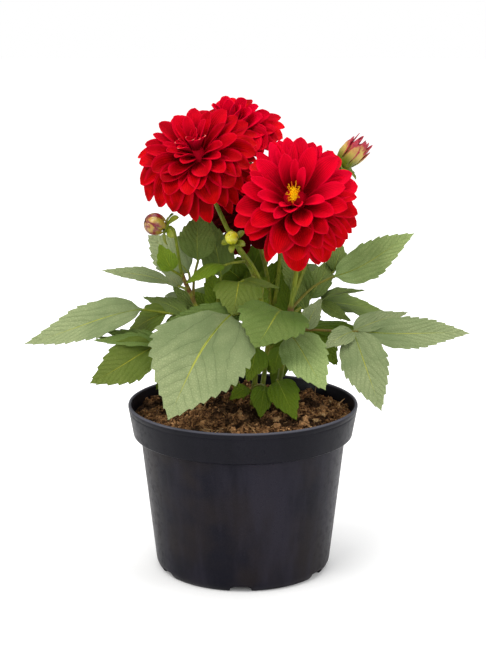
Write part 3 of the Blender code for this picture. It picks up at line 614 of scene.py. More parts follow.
# Blooms: petals stand out of a small core, upright in the middle and folded back at the outside
Bloom = namedtuple(
    "Bloom", "centre axis radius petals petal_width inner outer core_height first_root bracts seed",
)
BLOOMS = {
    "bloom_left": Bloom((-34, 8, 335.5), (-0.27, -0.45, 0.85), 52, 45, 22, (6, -6), (98, 160), 19, 12, 5, 11),
    "bloom_right": Bloom((41, -35, 311), (-0.1, -0.84, 0.53), 53, 45, 21, (26, 50), (98, 156), 18, 38, 5, 23),
    "bloom_back": Bloom((-8, 80, 345), (-0.12, -0.29, 0.95), 49, 32, 24, (12, 10), (92, 140), 15, 12, 5, 37),
    "bloom_low": Bloom((1, 52, 287), (-0.35, -0.85, 0.35), 36, 14, 27, (14, 20), (90, 130), 8, 12, 0, 41),
}
COMMON_RADIUS = 50
CORE_RADIUS = 10
CORE_SINK = 9
PRESS_DEPTH = 7
PRESS_TURN = 1.6
GAP = 0.35
Bud = namedtuple("Bud", "centre axis radius bract_length spread")
BUDS = {
    "bud_left": Bud((-70, -20, 292), (-0.90, -0.28, 0.30), 9, 12, 118),
    "bud_green": Bud((-9, -20, 281), (-0.35, -0.75, 0.55), 5.4, 10, 88),
}
CORE_SHARE = 0.86
OPENING_BUD_BASE = Vector((80, 21, 334))
OPENING_BUD_AXIS = (0.66, -0.10, 0.75)
OPENING_BUD_LENGTH = 28
OPENING_BUD_SEAT = 5
print("blooms and buds:", [*BLOOMS, *BUDS, "bud_right"])

# %% Leaves
# A stalk leaves its stem at a height, passes its points, and carries leaflets at some of them. The
# finishes go to the leaflets in turn, and the last one to all that follow. The small leaflets that face
# 0.95 forwards, and the last one of leaf_back_centre, show between the stems and are left out of the
# engineering model.
Leaflet = namedtuple("Leaflet", "at tip width facing arch fold teeth")
Leaf = namedtuple("Leaf", "stem height stalk leaflets finishes red", defaults=("sage", 0.12))
LEAVES = {
    "leaf_far_left": Leaf("stem_left_bud", 203, ((-46, 5, 210), (-62, 4, 214), (-82, 0, 218)), (
        Leaflet(2, (-178, -12, 192), 37, 0.5, 6, 8, 7),
        Leaflet(1, (-96, 22, 195), 29, 0.6, 3, 5, 4),
        Leaflet(0, (-84, 32, 222), 20, 0.35, 3, 5, 4),
        Leaflet(0, (-60, 12, 190), 24, 0.95, 2, 6, 3),
    ), "sage olive meadow"),
    "leaf_lower_left": Leaf("stem_left_bud", 160, ((-30, -2, 174), (-55, -13, 186), (-71, -20, 192)), (
        Leaflet(2, (-123, -40, 166), 36, 0.8, 7, 6, 5),
        Leaflet(1, (-120, -6, 196), 21, 0.3, 3, 5, 4),
        Leaflet(2, (-121, -28, 199), 20, 0.3, 4, 8, 4),
        Leaflet(1, (-114, -2, 202), 22, 0.95, 3, 6, 4),
    ), "olive meadow moss", 0.45),
    "leaf_upper_left": Leaf("stem_left_bud", 234, ((-51, 4, 236), (-60, 6, 238)), (
        Leaflet(1, (-116, 14, 248), 17, 0.4, 3, 8, 5),
        Leaflet(0, (-64, 20, 244), 14, 0.4, 1, 5, 3),
    )),
    "leaf_tall_left": Leaf("stem_left_bud", 226, ((-40, 13, 243), (-37, 18, 255)), (
        Leaflet(1, (-36, 32, 293), 31, 1.0, 3, 8, 5),
    ), "meadow", 0.55),
    "leaf_tall_centre": Leaf("stem_left_bud", 190, ((-22, 20, 215), (-18, 27, 240)), (
        Leaflet(1, (-29, 35, 288), 30, 1.0, 3, 6, 4),
    ), "meadow"),
    "leaf_small_left": Leaf("stem_left_bud", 246, ((-57, -13, 253),), (
        Leaflet(0, (-67, -20, 276), 18, 0.9, 1, 5, 3),
    ), "young"),
    "leaf_back_left": Leaf("stem_left_bud", 240, ((-44, 16, 240), (-45, 32, 242)), (
        Leaflet(1, (-80, 50, 271), 34, 0.9, 3, 6, 5),
    )),
    "leaf_front": Leaf("stem_left_bloom", 200, ((11, -8, 213), (0, -23, 220), (-10, -36, 221)), (
        Leaflet(2, (-58, -94, 151), 84, 0.55, 9, 7, 8),
        Leaflet(1, (-70, -40, 211), 27, 0.8, 1, 5, 5),
    ), "sage moss"),
    "leaf_centre": Leaf("stem_left_bloom", 214, ((23, -10, 222), (31, -30, 223)), (
        Leaflet(1, (9, -80, 205), 58, 0.45, 7, 5, 6),
    ), "moss"),
    "leaf_centre_low": Leaf("stem_right_bloom", 196, ((38, -10, 202), (39, -27, 202)), (
        Leaflet(1, (65, -68, 168), 38, 0.6, 6, 6, 5),
    ), "sage_lit"),
    "leaf_low_small": Leaf("stem_left_bloom", 150, ((14, -10, 157), (18, -23, 159)), (
        Leaflet(1, (14, -43, 138), 21, 0.7, 3, 6, 3),
    ), "shaded"),
    "leaf_low_centre": Leaf("stem_right_bloom", 154, ((28, -10, 161), (28, -21, 163)), (
        Leaflet(1, (43, -50, 138), 27, 0.7, 4, 6, 4),
    ), "shaded"),
    "leaf_low_front": Leaf("stem_left_bloom", 146, ((5, -6, 152), (4, -10, 154)), (
        Leaflet(1, (-11, -24, 148), 14, 0.6, 2, 5, 3),
    ), "young"),
    "leaf_upper_right": Leaf("stem_right_bloom", 217, ((58, 14, 234), (75, 18, 242)), (
        Leaflet(1, (140, 12, 279), 34, 0.6, -8, 6, 6),
    ), "sage_lit", 0.5),
    "leaf_behind_right": Leaf("stem_right_bloom", 210, ((55, 20, 222), (64, 32, 232), (76, 38, 242)), (
        Leaflet(2, (84, 54, 262), 20, 0.8, 2, 5, 3),
        Leaflet(0, (77, 50, 253), 21, 0.9, 2, 5, 4),
        Leaflet(0, (30, 40, 262), 24, 0.95, 2, 6, 4),
    ), "meadow"),
    "leaf_mid_right": Leaf("stem_right_bloom", 205, ((52, 14, 214), (64, 22, 219)), (
        Leaflet(1, (102, 26, 229), 20, 0.1, 4, 8, 4),
        Leaflet(1, (121, 60, 203), 36, 0.35, 1, 5, 5),
        Leaflet(0, (40, 26, 244), 15, 0.95, 2, 6, 3),
        Leaflet(1, (90, 12, 205), 12, 0.95, 2, 6, 3),
    ), "meadow"),
    "leaf_right": Leaf("stem_right_bloom", 201, ((52, -8, 203), (89, -20, 204), (100, -21, 204)), (
        Leaflet(2, (183, -26, 204), 29, 0.65, -4, 6, 7),
        Leaflet(1, (136, 8, 214), 23, 0.4, 1, 10, 4),
        Leaflet(1, (110, -58, 148), 38, 0.75, 4, 6, 6),
        Leaflet(1, (64, -44, 196), 18, 0.7, 2, 5, 3),
        Leaflet(0, (64, -6, 229), 17, 0.6, 2, 6, 3),
    ), "sage", 0.8),
    "leaf_low_right": Leaf("stem_back_bloom", 176, ((38, 34, 190), (56, 36, 192)), (
        Leaflet(1, (80, 34, 162), 26, 0.8, 3, 6, 3),
        Leaflet(0, (88, 58, 188), 26, 0.5, 2, 6, 3),
        Leaflet(1, (118, 58, 183), 24, 0.4, 3, 6, 3),
        Leaflet(0, (26, 32, 142), 26, 0.95, 2, 6, 3),
        Leaflet(0, (34, 44, 236), 24, 0.95, 2, 6, 3),
    ), "shaded"),
    "leaf_drooping": Leaf("stem_left_bloom", 243, ((0, -6, 243), (-3, -10, 242)), (
        Leaflet(1, (-9, -40, 222), 42, 0.5, 9, -10, 4),
        Leaflet(0, (30, -20, 240), 12, 0.3, 1, 5, 3),
    ), "olive"),
    "leaf_edge_on": Leaf("stem_left_bloom", 256, ((-8, 4, 256), (-16, -3, 255)), (
        Leaflet(1, (-46, -26, 245), 22, 0.1, 5, -14, 4),
    ), "young"),
    "leaf_inner_left": Leaf("stem_left_bloom", 172, ((10, -2, 182), (10, -6, 188)), (
        Leaflet(1, (4, -20, 162), 26, 0.9, 2, 5, 3),
    ), "young"),
    "leaf_inner_right": Leaf("stem_right_bloom", 176, ((31, -4, 184), (30, -7, 188)), (
        Leaflet(1, (24, -16, 167), 16, 0.9, 2, 5, 3),
    ), "young"),
    "leaf_inner_back": Leaf("stem_left_bud", 186, ((-12, 22, 200), (-6, 28, 206)), (
        Leaflet(1, (20, 40, 238), 36, 0.9, 3, 6, 4),
        Leaflet(0, (-42, 34, 226), 30, 0.9, 3, 6, 4),
        Leaflet(0, (-31, 30, 250), 24, 0.95, 2, 6, 3),
    ), "shaded"),
    "leaf_behind_centre": Leaf("stem_back_bloom", 190, ((8, 50, 208), (2, 64, 226)), (
        Leaflet(1, (-23, 66, 245), 36, 0.9, 3, 6, 4),
        Leaflet(0, (16, 70, 250), 28, 0.9, 3, 6, 4),
        Leaflet(0, (46, 64, 258), 28, 0.95, 3, 6, 4),
        Leaflet(1, (20, 74, 270), 24, 0.95, 3, 6, 3),
    ), "shaded"),
    "leaf_low_left": Leaf("stem_left_bud", 148, ((-28, 10, 165), (-50, 8, 172)), (
        Leaflet(1, (-72, -4, 151), 22, 0.8, 3, 6, 3),
        Leaflet(0, (-34, -10, 150), 26, 0.8, 3, 6, 3),
    ), "shaded"),
    "leaf_back_right": Leaf("stem_back_bloom", 214, ((34, 70, 226), (40, 92, 232)), (
        Leaflet(1, (62, 142, 214), 38, 0.1, 8, 6, 5),
        Leaflet(0, (80, 92, 226), 26, 0.1, 4, 6, 4),
    ), "meadow"),
    "leaf_back_centre": Leaf("stem_left_bud", 178, ((-22, 30, 196), (-34, 58, 212)), (
        Leaflet(1, (-64, 112, 202), 38, 0.1, 8, 6, 5),
        Leaflet(0, (-66, 52, 190), 26, 0.1, 4, 6, 4),
        Leaflet(0, (-60, 42, 230), 24, 0.9, 2, 6, 4),
    ), "meadow"),
}
print("leaves:", len(LEAVES), "with", sum(len(leaf.leaflets) for leaf in LEAVES.values()), "leaflets")

# %% [markdown]
# ## One stalk, laid many times
# Stems, leaf stalks, midribs and root fibres are all tapered round tubes. A curve with a bevel would do,
# but a mesh tube can swell at a node and carry its own tint. So one straight stalk is extruded ring by
# ring, and each copy is laid along a smooth path, ring after ring, with the rings turned as little as
# possible on the way.

# %% Model the straight stalk and lay it along a path
Stalk = namedtuple("Stalk", "unit rings")


def model_stalk(name, sides, rings):
    """A straight stalk of radius 1 and length 1."""
    return Stalk(turned(name, [(1, ring / rings) for ring in range(rings + 1)], sides, unit=1), rings)


def smooth_path(points, steps):
    """Points along a smooth curve through the given ones."""
    points = [Vector(point) for point in points]
    padded = [points[0] * 2 - points[1], *points, points[-1] * 2 - points[-2]]
    path = [points[0]]
    for before, start, end, after in zip(padded, padded[1:], padded[2:], padded[3:]):
        for step in range(1, steps + 1):
            s = step / steps
            path.append(0.5 * (
                2 * start + (end - before) * s + (2 * before - 5 * start + 4 * end - after) * s ** 2
                + (3 * start - before - 3 * end + after) * s ** 3
            ))
    return path


def even_places(path, count):
    """Places at even distances along a path, each with two directions square to it."""
    marks = [0.0]
    for start, end in zip(path, path[1:]):
        marks.append(marks[-1] + (end - start).length)
    places = []
    index = 0
    for step in range(count + 1):
        mark = marks[-1] * step / count
        while index < len(path) - 2 and marks[index + 1] < mark:
            index += 1
        share = (mark - marks[index]) / max(marks[index + 1] - marks[index], 1e-9)
        places.append(path[index].lerp(path[index + 1], share))
    frames = []
    side = None
    for step, place in enumerate(places):
        ahead = (places[min(step + 1, count)] - places[max(step - 1, 0)]).normalized()
        side = ahead.orthogonal() if side is None else side - ahead * side.dot(ahead)
        side = side.normalized()
        frames.append((place, side, ahead.cross(side)))
    return frames


def stalk_along(stalk, name, path, radius, **marks):
    """A copy of a straight stalk laid along a path; radius is a rule from 0 at the foot to 1 at the top."""
    frames = even_places(path, stalk.rings)

    def rule(corner):
        place, side, over = frames[round(corner.z * stalk.rings)]
        return place + (side * corner.x + over * corner.y) * radius(corner.z)

    return laid(stalk.unit, name, rule, **marks)


long_stalk, short_stalk = model_stalk("long_stalk", 14, 60), model_stalk("short_stalk", 8, 14)
print("corners of the stalks:", [len(stalk.unit.data.vertices) for stalk in (long_stalk, short_stalk)])

# %% [markdown]
# ## The soil
# Potting soil is a heap of crumbs with bark chips, pale grit and root fibres on top. One displaced surface
# would look like clay, so it is done in two layers: a turned body whose top is roughened by displacement,
# and 3,500 crumbs, lumps and chips of 20 to 80 faces each, with fibres over them, bedded into it.

# %% Turn the soil and roughen its top
SOIL_EDGE, SOIL_MOUND, SOIL_RADIUS = 129, 7, 90.4
WALL_RINGS = ((40, 7.15), (70.8, 7.15), (82.5, 112.2), (88.7, 117))
TOP_RADIUS, TOP_MIDDLE, TOP_STEPS = 90.2, 1.2, 44
ROUGH_RADIUS, ROUGH_HEIGHT = 89.3, 125
LUMP_SIZES = ((0.014, 9.0), (0.0055, 9.0), (0.0024, 7.0))


def mix(first, last, share):
    return first + (last - first) * share


def soil_height(radius):
    return SOIL_EDGE + SOIL_MOUND * (1 - (radius / SOIL_RADIUS) ** 2)


def make_soil():
    radii = [mix(TOP_RADIUS, TOP_MIDDLE, step / TOP_STEPS) for step in range(TOP_STEPS + 1)]
    soil = turned("soil_bed", (*WALL_RINGS, *((radius, soil_height(radius)) for radius in radii)), 150)
    top = [corner.index for corner in soil.data.vertices
           if corner.co.z > ROUGH_HEIGHT * MM and math.hypot(corner.co.x, corner.co.y) < ROUGH_RADIUS * MM]
    soil.vertex_groups.new(name="top").add(top, 1, "REPLACE")
    for size, strength in LUMP_SIZES:
        lumps = bpy.data.textures.new("lumps", "CLOUDS")
        lumps.noise_scale = size
        lumps.noise_depth = 3
        add_modifier(
            soil, "DISPLACE", texture=lumps, texture_coords="LOCAL", direction="Z", mid_level=0.5,
            strength=strength * MM, vertex_group="top",
        )
    apply_all(soil)
    return soil


soil = make_soil()
lie = BVHTree.FromPolygons(
    [corner.co.copy() for corner in soil.data.vertices],
    [tuple(face.vertices) for face in soil.data.polygons],
)


def ground(x, y):
    """The soil's surface under a point, in millimetres."""
    hit = lie.ray_cast(Vector((x * MM, y * MM, 0.2)), -UP)[0]
    return hit / MM if hit else Vector((x, y, soil_height(math.hypot(x, y))))


print("soil at the middle:", round(ground(0, 0).z, 1), "mm")

# %% Model one crumb, one lump and one chip
def rough_ball(name, rings, seed):
    """A small ball knocked out of shape."""
    ball = start_from(bpy.ops.mesh.primitive_ico_sphere_add, name, subdivisions=rings, radius=MM)
    bpy.ops.transform.vertex_random(offset=0.45 * MM, uniform=0.3, normal=0.4, seed=seed)
    return close_mesh(ball)


def wood_chip():
    """A flat splinter: a cube drawn long and flat, roughened, with one end narrowed, thinned and lifted."""
    splinter = start_from(bpy.ops.mesh.primitive_cube_add, "chip", size=2 * MM)
    bpy.ops.transform.resize(value=(1, 0.3, 0.13))
    bpy.ops.mesh.subdivide(number_cuts=1)
    bpy.ops.transform.vertex_random(offset=0.14 * MM, seed=4)
    pick(splinter, lambda place: place.x > 0.8 * MM)
    bpy.ops.transform.resize(value=(1, 0.45, 0.6))
    bpy.ops.transform.translate(value=(0, 0, 0.22 * MM))
    return close_mesh(splinter)


crumb, lump, chip = rough_ball("crumb", 1, 3), rough_ball("lump", 2, 8), wood_chip()
print("faces of crumb, lump and chip:", [len(unit.data.polygons) for unit in (crumb, lump, chip)])

# %% Bed the crumbs and chips
LOOSE_BITS = 3500
LOOSE_REACH, BED_EDGE = 88.6, 90
CRUMB_SHARE, LUMP_SHARE = 0.66, 0.93


def bedded(unit, x, y, size, draw, tone, sink, lean=0.5):
    """A copy of a unit turned by chance and pressed a little into the surface."""
    turn = Matrix.Rotation(draw.uniform(0, FULL_TURN), 3, "Z")
    tilt, roll = (Matrix.Rotation(draw.uniform(-lean, lean), 3, way) for way in "XY")
    place = ground(x, y) + UP * size.z * (1 - 2 * sink)
    whole = turn @ (tilt @ roll) @ Matrix.Diagonal(size)
    return laid(unit, unit.name, lambda corner: whole @ (corner / MM) + place, tone=tone)


def chance_spot(draw, reach):
    """A place on the soil by chance, evenly spread, as its distance from the middle and its x and y."""
    reach *= math.sqrt(draw.random())
    turn = draw.uniform(0, FULL_TURN)
    return reach, reach * math.cos(turn), reach * math.sin(turn)


def scatter():
    draw = random.Random(71)
    pieces = []
    for _ in range(LOOSE_BITS):
        reach, x, y = chance_spot(draw, LOOSE_REACH)
        kind = draw.random()
        if kind < CRUMB_SHARE:
            size = draw.uniform(0.4, 1.3)
            tone = 0.6 * draw.random() ** 1.2
            pieces.append(bedded(crumb, x, y, Vector((size, size * 0.8, size * 0.75)), draw, tone, 0.05))
        elif kind < LUMP_SHARE:
            size = min(0.9 + 2.3 * draw.random() ** 3, 0.3 + BED_EDGE - reach)
            tone = 0.45 * draw.random() ** 1.5
            pieces.append(bedded(lump, x, y, Vector((size, size * 0.8, size * 0.8)), draw, tone, 0.1))
        else:
            length = draw.uniform(0.8, 2.4)
            if reach + length < BED_EDGE:
                size = Vector((length, length * draw.uniform(0.3, 0.7), length * 0.8))
                pieces.append(bedded(chip, x, y, size, draw, draw.uniform(0.45, 0.95), 0.2, 0.6))
    return pieces


bits = scatter()
print("bedded bits:", len(bits))

# %% Lay the fibres and the bits that show from the front
SEEN_FIBRES = (
    (((-47, -6, 1), (-44, 8, 2.5), (-37, 12, 3.5), (-31, 4, 3), (-33, -8, 1.5), (-41, -12, 0.5)), 0.75, 0.95),
    (((-44, -16, 0.5), (-39, -20, 1.8), (-35, -14, 2.2), (-37, -6, 1)), 0.6, 0.8),
    (((-2, -10, 0.5), (-6, -22, 2), (-12, -36, 0.8)), 0.8, 0.75),
    (((1, -50, 0.5), (6, -58, 1.6), (12, -70, 0.4)), 0.7, 0.85),
    (((-13, -52, 0.4), (-19, -60, 1.4), (-24, -70, 0.4)), 0.7, 0.9),
    (((-34, -56, 0.3), (-24, -62, 1.2), (-15, -60, 0.3)), 0.45, 0.8),
    (((62, 28, 0), (60, 20, 6), (61, 16, 12)), 0.9, 0.7),
    (((82, 2, 0), (80, 8, 3), (85, 14, 7)), 0.8, 0.75),
)
SEEN_BITS = (
    (chip, -2, -40, (4.2, 3.4, 4.2), 1.0), (lump, 27, -42, (4.2, 3.2, 2.6), 0.92),
    (lump, 59, -35, (4.0, 3.2, 2.6), 0.8), (chip, 74, 26, (3.2, 2.6, 3.2), 0.95),
    (chip, -30, -66, (4.6, 2.6, 4), 0.85), (lump, 66, -26, (2.4, 2, 1.6), 0.85),
    (chip, 52, -52, (4, 3, 3.4), 0.75), (lump, -20, -14, (1.6, 1.4, 1.2), 0.9),
)
SEEN_BIT_SCALE = 0.85
CHANCE_FIBRES, FIBRE_REACH, FIBRE_EDGE = 16, 84, 88
FIBRE_STEP, FIBRE_LIFT = 4, 1.6


def fibre(points, radius, tone):
    """A root fibre or twig lying over the soil; each point is (x, y, height above the soil)."""
    path = smooth_path([ground(x, y) + UP * (radius * 0.6 + high) for x, y, high in points], 4)
    return stalk_along(short_stalk, "fibre", path, lambda share: radius * (1.1 - 0.7 * share), tone=tone)


def scatter_fibres():
    draw = random.Random(29)
    pieces = [fibre(*entry) for entry in SEEN_FIBRES]
    for _ in range(CHANCE_FIBRES):
        _, x, y = chance_spot(draw, FIBRE_REACH)
        points = []
        heading = draw.uniform(0, FULL_TURN)
        for step in range(4):
            if math.hypot(x, y) < FIBRE_EDGE:
                points.append((x, y, FIBRE_LIFT * (step in (1, 2)) * draw.random()))
            heading += draw.uniform(-0.9, 0.9)
            x, y = x + FIBRE_STEP * math.cos(heading), y + FIBRE_STEP * math.sin(heading)
        if len(points) > 2:
            pieces.append(fibre(points, draw.uniform(0.25, 0.55), draw.uniform(0.45, 0.95)))
    for unit, x, y, size, tone in SEEN_BITS:
        pieces.append(bedded(unit, x, y, Vector(size) * SEEN_BIT_SCALE, draw, tone, -0.1, 0.35))
    return pieces


bits += scatter_fibres()
print("bits with the fibres:", len(bits))

# %% Finish the soil
def potting_soil():
    """Dark damp soil, brownish crumbs and pale wood, darkened in wide patches by painted shade; tone tells
    how pale each crumb is.
    """
    finish = Finish("potting_soil", Roughness=0.95, Specular_IOR_Level=0.15)
    wide = finish.effect(patches, Size=36.0)
    fine = finish.effect(patches, Size=420.0)
    tone = finish.mark("tone")
    dark = blend(fine["Fleck"], (0.016, 0.007, 0.003), (0.180, 0.085, 0.034))
    crumbly = blend(fine["Patch"] * 0.6, dark, (0.74, 0.37, 0.150))
    light = blend(between(tone, 0.02, 0.5) * 0.85, crumbly, (0.90, 0.49, 0.210))
    # Painted shade: wide patches of the soil are darkened to near black.
    shade_patched = blend(between(wide["Patch"], 0.38, 0.78) * 0.86, light, (0.022, 0.010, 0.005))
    woody = blend(wide["Fleck"], (0.62, 0.35, 0.150), (0.92, 0.64, 0.32))
    finish.colour(blend(between(tone, 0.5, 0.95), shade_patched, woody))
    finish.bump(fine["Patch"] * 1.2 + finish.effect(grain, Size=1400.0)["Grain"], 1.0, 1.6)
    return finish.material


dress(finished(join("potting_soil", [soil, *bits]), potting_soil()), "soil", 50)
throw_away(crumb, lump, chip)

# %% [markdown]
# ## Stems, cups and bracts
# A dahlia's stem is smooth and yellow-green, swells a little where leaves leave it and reddens there. Below
# each bloom it widens into a cup with small spoon-shaped bracts. The stem is the laid stalk, the cup is
# turned, and one bract is modelled from a grid whose columns are drawn in to its outline.

# %% Seats and stem paths
STEM_FOOT = 96


def seat_of(name):
    """Where a bloom or bud sits: the middle of the seat, its direction and its radius."""
    if name in BLOOMS:
        bloom = BLOOMS[name]
        axis = Vector(bloom.axis).normalized()
        size = bloom.radius / COMMON_RADIUS
        return Vector(bloom.centre) - axis * (CORE_SINK * size + GAP), axis, 7 * size
    if name in BUDS:
        bud = BUDS[name]
        axis = Vector(bud.axis).normalized()
        return Vector(bud.centre) - axis * (bud.radius * CORE_SHARE + GAP), axis, 0.5 * bud.radius
    return OPENING_BUD_BASE, Vector(OPENING_BUD_AXIS).normalized(), OPENING_BUD_SEAT


def neck_of(name):
    seat, axis, seat_radius = seat_of(name)
    return seat - axis * 1.7 * seat_radius, seat - axis * 0.35 * seat_radius


def stem_line(stem):
    """A stem's fine path: straight out of the soil, then smoothly to its seat."""
    top = Vector((*stem.foot, SOIL_EDGE + SOIL_MOUND))
    return [Vector((*stem.foot, STEM_FOOT)), *smooth_path([top, *stem.path, *neck_of(stem.carries)], 6)]


STEM_LINES = {name: stem_line(stem) for name, stem in STEMS.items()}
print("points of the stems:", {name: len(line) for name, line in STEM_LINES.items()})


def stem_at(name, height):
    """The place and radius of a stem at a height."""
    line, stem = STEM_LINES[name], STEMS[name]
    for index, (low, high) in enumerate(zip(line, line[1:])):
        if low.z <= height <= high.z:
            share = (height - low.z) / (high.z - low.z)
            grown = (index + share) / (len(line) - 1)
            return low.lerp(high, share), mix(stem.foot_radius, stem.top_radius, grown)
    return line[-1], stem.top_radius

# %% Model one bract
def drawn_blade(name, rows, spots, widths):
    """A flat blade from 0 to 1 along X: each column of a grid is drawn to its width and moved to its spot."""
    step = 2 / (len(spots) - 1)
    blade = start_from(
        bpy.ops.mesh.primitive_grid_add, name, x_subdivisions=len(spots) - 1, y_subdivisions=rows, size=2,
    )
    bpy.ops.transform.translate(value=(-2, 0, 0))
    for column, (spot, width) in enumerate(zip(spots, widths)):
        here = -3 + column * step
        pick(blade, lambda place: abs(place.x - here) < step / 4)
        bpy.ops.transform.resize(value=(1, width, 1), center_override=(here, 0, 0))
        bpy.ops.transform.translate(value=(spot - here, 0, 0))
    return close_mesh(blade, outwards=False)


bract = drawn_blade("bract", 4, (0, 0.18, 0.4, 0.62, 0.8, 0.93, 1), (0.45, 0.62, 0.88, 1.0, 0.86, 0.5, 0.02))
print("bract faces:", len(bract.data.polygons))


def thicken(piece, thickness, under=0):
    """Gives a blade its thickness; under is the material of its second side."""
    add_modifier(piece, "SOLIDIFY", thickness=thickness * MM, offset=0, material_offset=under)
    apply_all(piece)
    return piece


def bract_at(name, root, direction, axis, length):
    """A bract that leaves its cup in a direction and curls a little back at its tip."""
    along = direction.normalized()
    face = (axis - along * axis.dot(along)).normalized()
    side = along.cross(face)
    width = 0.55 * length

    def rule(corner):
        curl = face * length * (0.30 * corner.x * (1 - corner.x) - 0.04 * corner.x ** 2 + 0.08 * corner.x)
        cup = face * 0.16 * width * corner.y ** 2
        return root + along * length * corner.x + side * width / 2 * corner.y + curl + cup

    return thicken(laid(bract, name, rule, blush=lambda corner: 0.25 * corner.x ** 3), 0.7)

# %% Lay the stems and set the cups
STEM_SHARE = 0.74
NODE_LENGTH, NODE_SWELL = 2.6, 0.28
BLOOM_BRACT_LENGTH, BLOOM_BRACT_SPREAD = 14, 128
OPENING_BUD_BRACTS = (6, 14, 86)


def calyx(name, stalk_radius, bracts, length, spread_degrees):
    """The green cup under a bloom or bud, and its bracts."""
    seat, axis, radius = seat_of(name)
    across, over, axis = axes_of(axis)
    height = 0.8 * radius
    cup = turned(name + "_cup", (
        (0.95 * stalk_radius, -1.25 * height), (1.1 * stalk_radius, -0.95 * height),
        (0.72 * radius, -0.62 * height), (0.93 * radius, -0.3 * height), (radius, -0.1 * height),
        (0.96 * radius, 0),
    ), 18)
    pieces = [set_on(cup, seat, (across, over, axis))]
    spread = math.radians(spread_degrees)
    for index in range(bracts):
        outward = ring_direction(across, over, FULL_TURN * (index + 0.25) / bracts)
        root = seat + outward * (radius - 1.6) - axis * 1.4
        direction = outward * math.sin(spread) + axis * math.cos(spread)
        pieces.append(bract_at(name + "_bract", root, direction, axis, length))
    return pieces


def calyx_sizes(carried):
    """How many bracts a bloom or bud has, how long they are and how far they spread."""
    if carried in BLOOMS:
        return BLOOMS[carried].bracts, BLOOM_BRACT_LENGTH, BLOOM_BRACT_SPREAD
    if carried in BUDS:
        return 5, BUDS[carried].bract_length, BUDS[carried].spread
    return OPENING_BUD_BRACTS


def make_stem(name):
    stem, line = STEMS[name], STEM_LINES[name]
    nodes = [leaf.height for leaf in LEAVES.values() if leaf.stem == name]
    frames = even_places(line, long_stalk.rings)

    def swelling(share):
        height = frames[round(share * long_stalk.rings)][0].z
        return min(1, sum(math.exp(-((height - node) / NODE_LENGTH) ** 2) for node in nodes))

    def radius(share):
        return STEM_SHARE * mix(stem.foot_radius, stem.top_radius, share) * (1 + NODE_SWELL * swelling(share))

    pieces = [stalk_along(
        long_stalk, name + "_stalk", line, radius, blush=lambda corner: stem.red * swelling(corner.z),
    )]
    shoots = [shoot for shoot in SHOOTS if shoot.stem == name]
    for shoot in shoots:
        path = smooth_path([*shoot.path, *neck_of(shoot.carries)], 6)
        pieces.append(stalk_along(
            short_stalk, name + "_shoot", path,
            lambda share: mix(shoot.foot_radius, shoot.top_radius, share), blush=0.1,
        ))
    for grown in (stem, *shoots):
        pieces += calyx(grown.carries, grown.top_radius, *calyx_sizes(grown.carries))
    return join(name.replace("stem", "stalk"), pieces)

# %% Finish and dress the stems
def stem_skin():
    """Yellow-green with fine lengthwise lines, and red where the stem blushes."""
    finish = Finish("stem_skin", Roughness=0.46, Specular_IOR_Level=0.25)
    tone = finish.effect(patches, Size=90.0)
    lengthwise = noise(stretched(object_place(finish.tree), (1, 1, 0.08)), 1500.0, 2)
    green = blend(tone["Patch"], (0.100, 0.150, 0.004), (0.185, 0.225, 0.010))
    lined = blend(between(lengthwise, 0.45, 0.75), green, (0.26, 0.29, 0.03))
    finish.colour(blend(finish.mark("blush"), lined, (0.11, 0.024, 0.012)))
    finish.bump(finish.effect(grain, Size=1100.0)["Grain"], 0.15, 0.3)
    return finish.material


stem_green = stem_skin()
for stem_name in STEMS:
    dress(finished(make_stem(stem_name), stem_green), stem_name, 60)

# %% [markdown]
# ## One leaflet for each number of teeth
# A dahlia's leaf is made of pointed leaflets, toothed in their outer part, with a fold along the midrib and
# side veins that quilt the blade. Cutting teeth out of a flat card would need a picture. Here a grid is
# drawn in, column by column, to the leaflet's outline, and the outermost corners of each tooth are pushed
# forward, so that the teeth point to the tip. Leaflets with the same number of teeth share one model, and
# those with few taper more.

# %% Model the leaflets
FIRST_TOOTH, LAST_TOOTH = 0.34, 0.93
TOOTH = ((0, 0.955, 0.04), (0.3, 1.0, 0.06), (0.55, 1.03, 0.12), (0.78, 1.045, 0.22), (0.89, 0.98, 0.12))
FEW_TEETH, TAPER = 4, 0.35
LEAFLET_ROWS = 10
TOOTH_RIMS = ((0.95, 9, 1), (0.75, 0.95, 0.45))


def leaflet_outline(share):
    return OUTLINE_SCALE * share ** 0.75 * (1 - share) ** 1.25


def leaflet_stations(teeth):
    """The columns of a leaflet: where each lies, how wide it is and how far its corners are pushed."""
    pitch = (LAST_TOOTH - FIRST_TOOTH) / teeth
    stations = [(0, 0.03, 0), (0.03, 0.13, 0)]
    stations += [(spot, leaflet_outline(spot), 0) for spot in (0.07, 0.12, 0.18, 0.26)]
    for tooth in range(teeth):
        for at, width, push in TOOTH:
            spot = FIRST_TOOTH + (tooth + at) * pitch
            stations.append((spot, leaflet_outline(spot) * width, push * pitch))
    stations.append((LAST_TOOTH, leaflet_outline(LAST_TOOTH) * 0.95, 0.1 * pitch))
    stations += [(0.975, leaflet_outline(0.972), 0), (1, 0.006, 0)]
    taper = TAPER if teeth <= FEW_TEETH else 0
    return [(spot, width * (1 - taper * spot ** 2), push) for spot, width, push in stations]


def model_leaflet(teeth):
    stations = leaflet_stations(teeth)
    spots, widths, _ = zip(*stations)
    blade = drawn_blade(f"leaflet_{teeth}", LEAFLET_ROWS, spots, widths)
    open_mesh(blade)
    for spot, width, push in stations:
        for low, high, part in TOOTH_RIMS:
            if push:
                pick(blade, lambda place: (
                    abs(place.x - spot) < 1e-4 and low * width < abs(place.y) < high * width
                ))
                bpy.ops.transform.translate(value=(push * part, 0, 0))
    return close_mesh(blade, outwards=False)


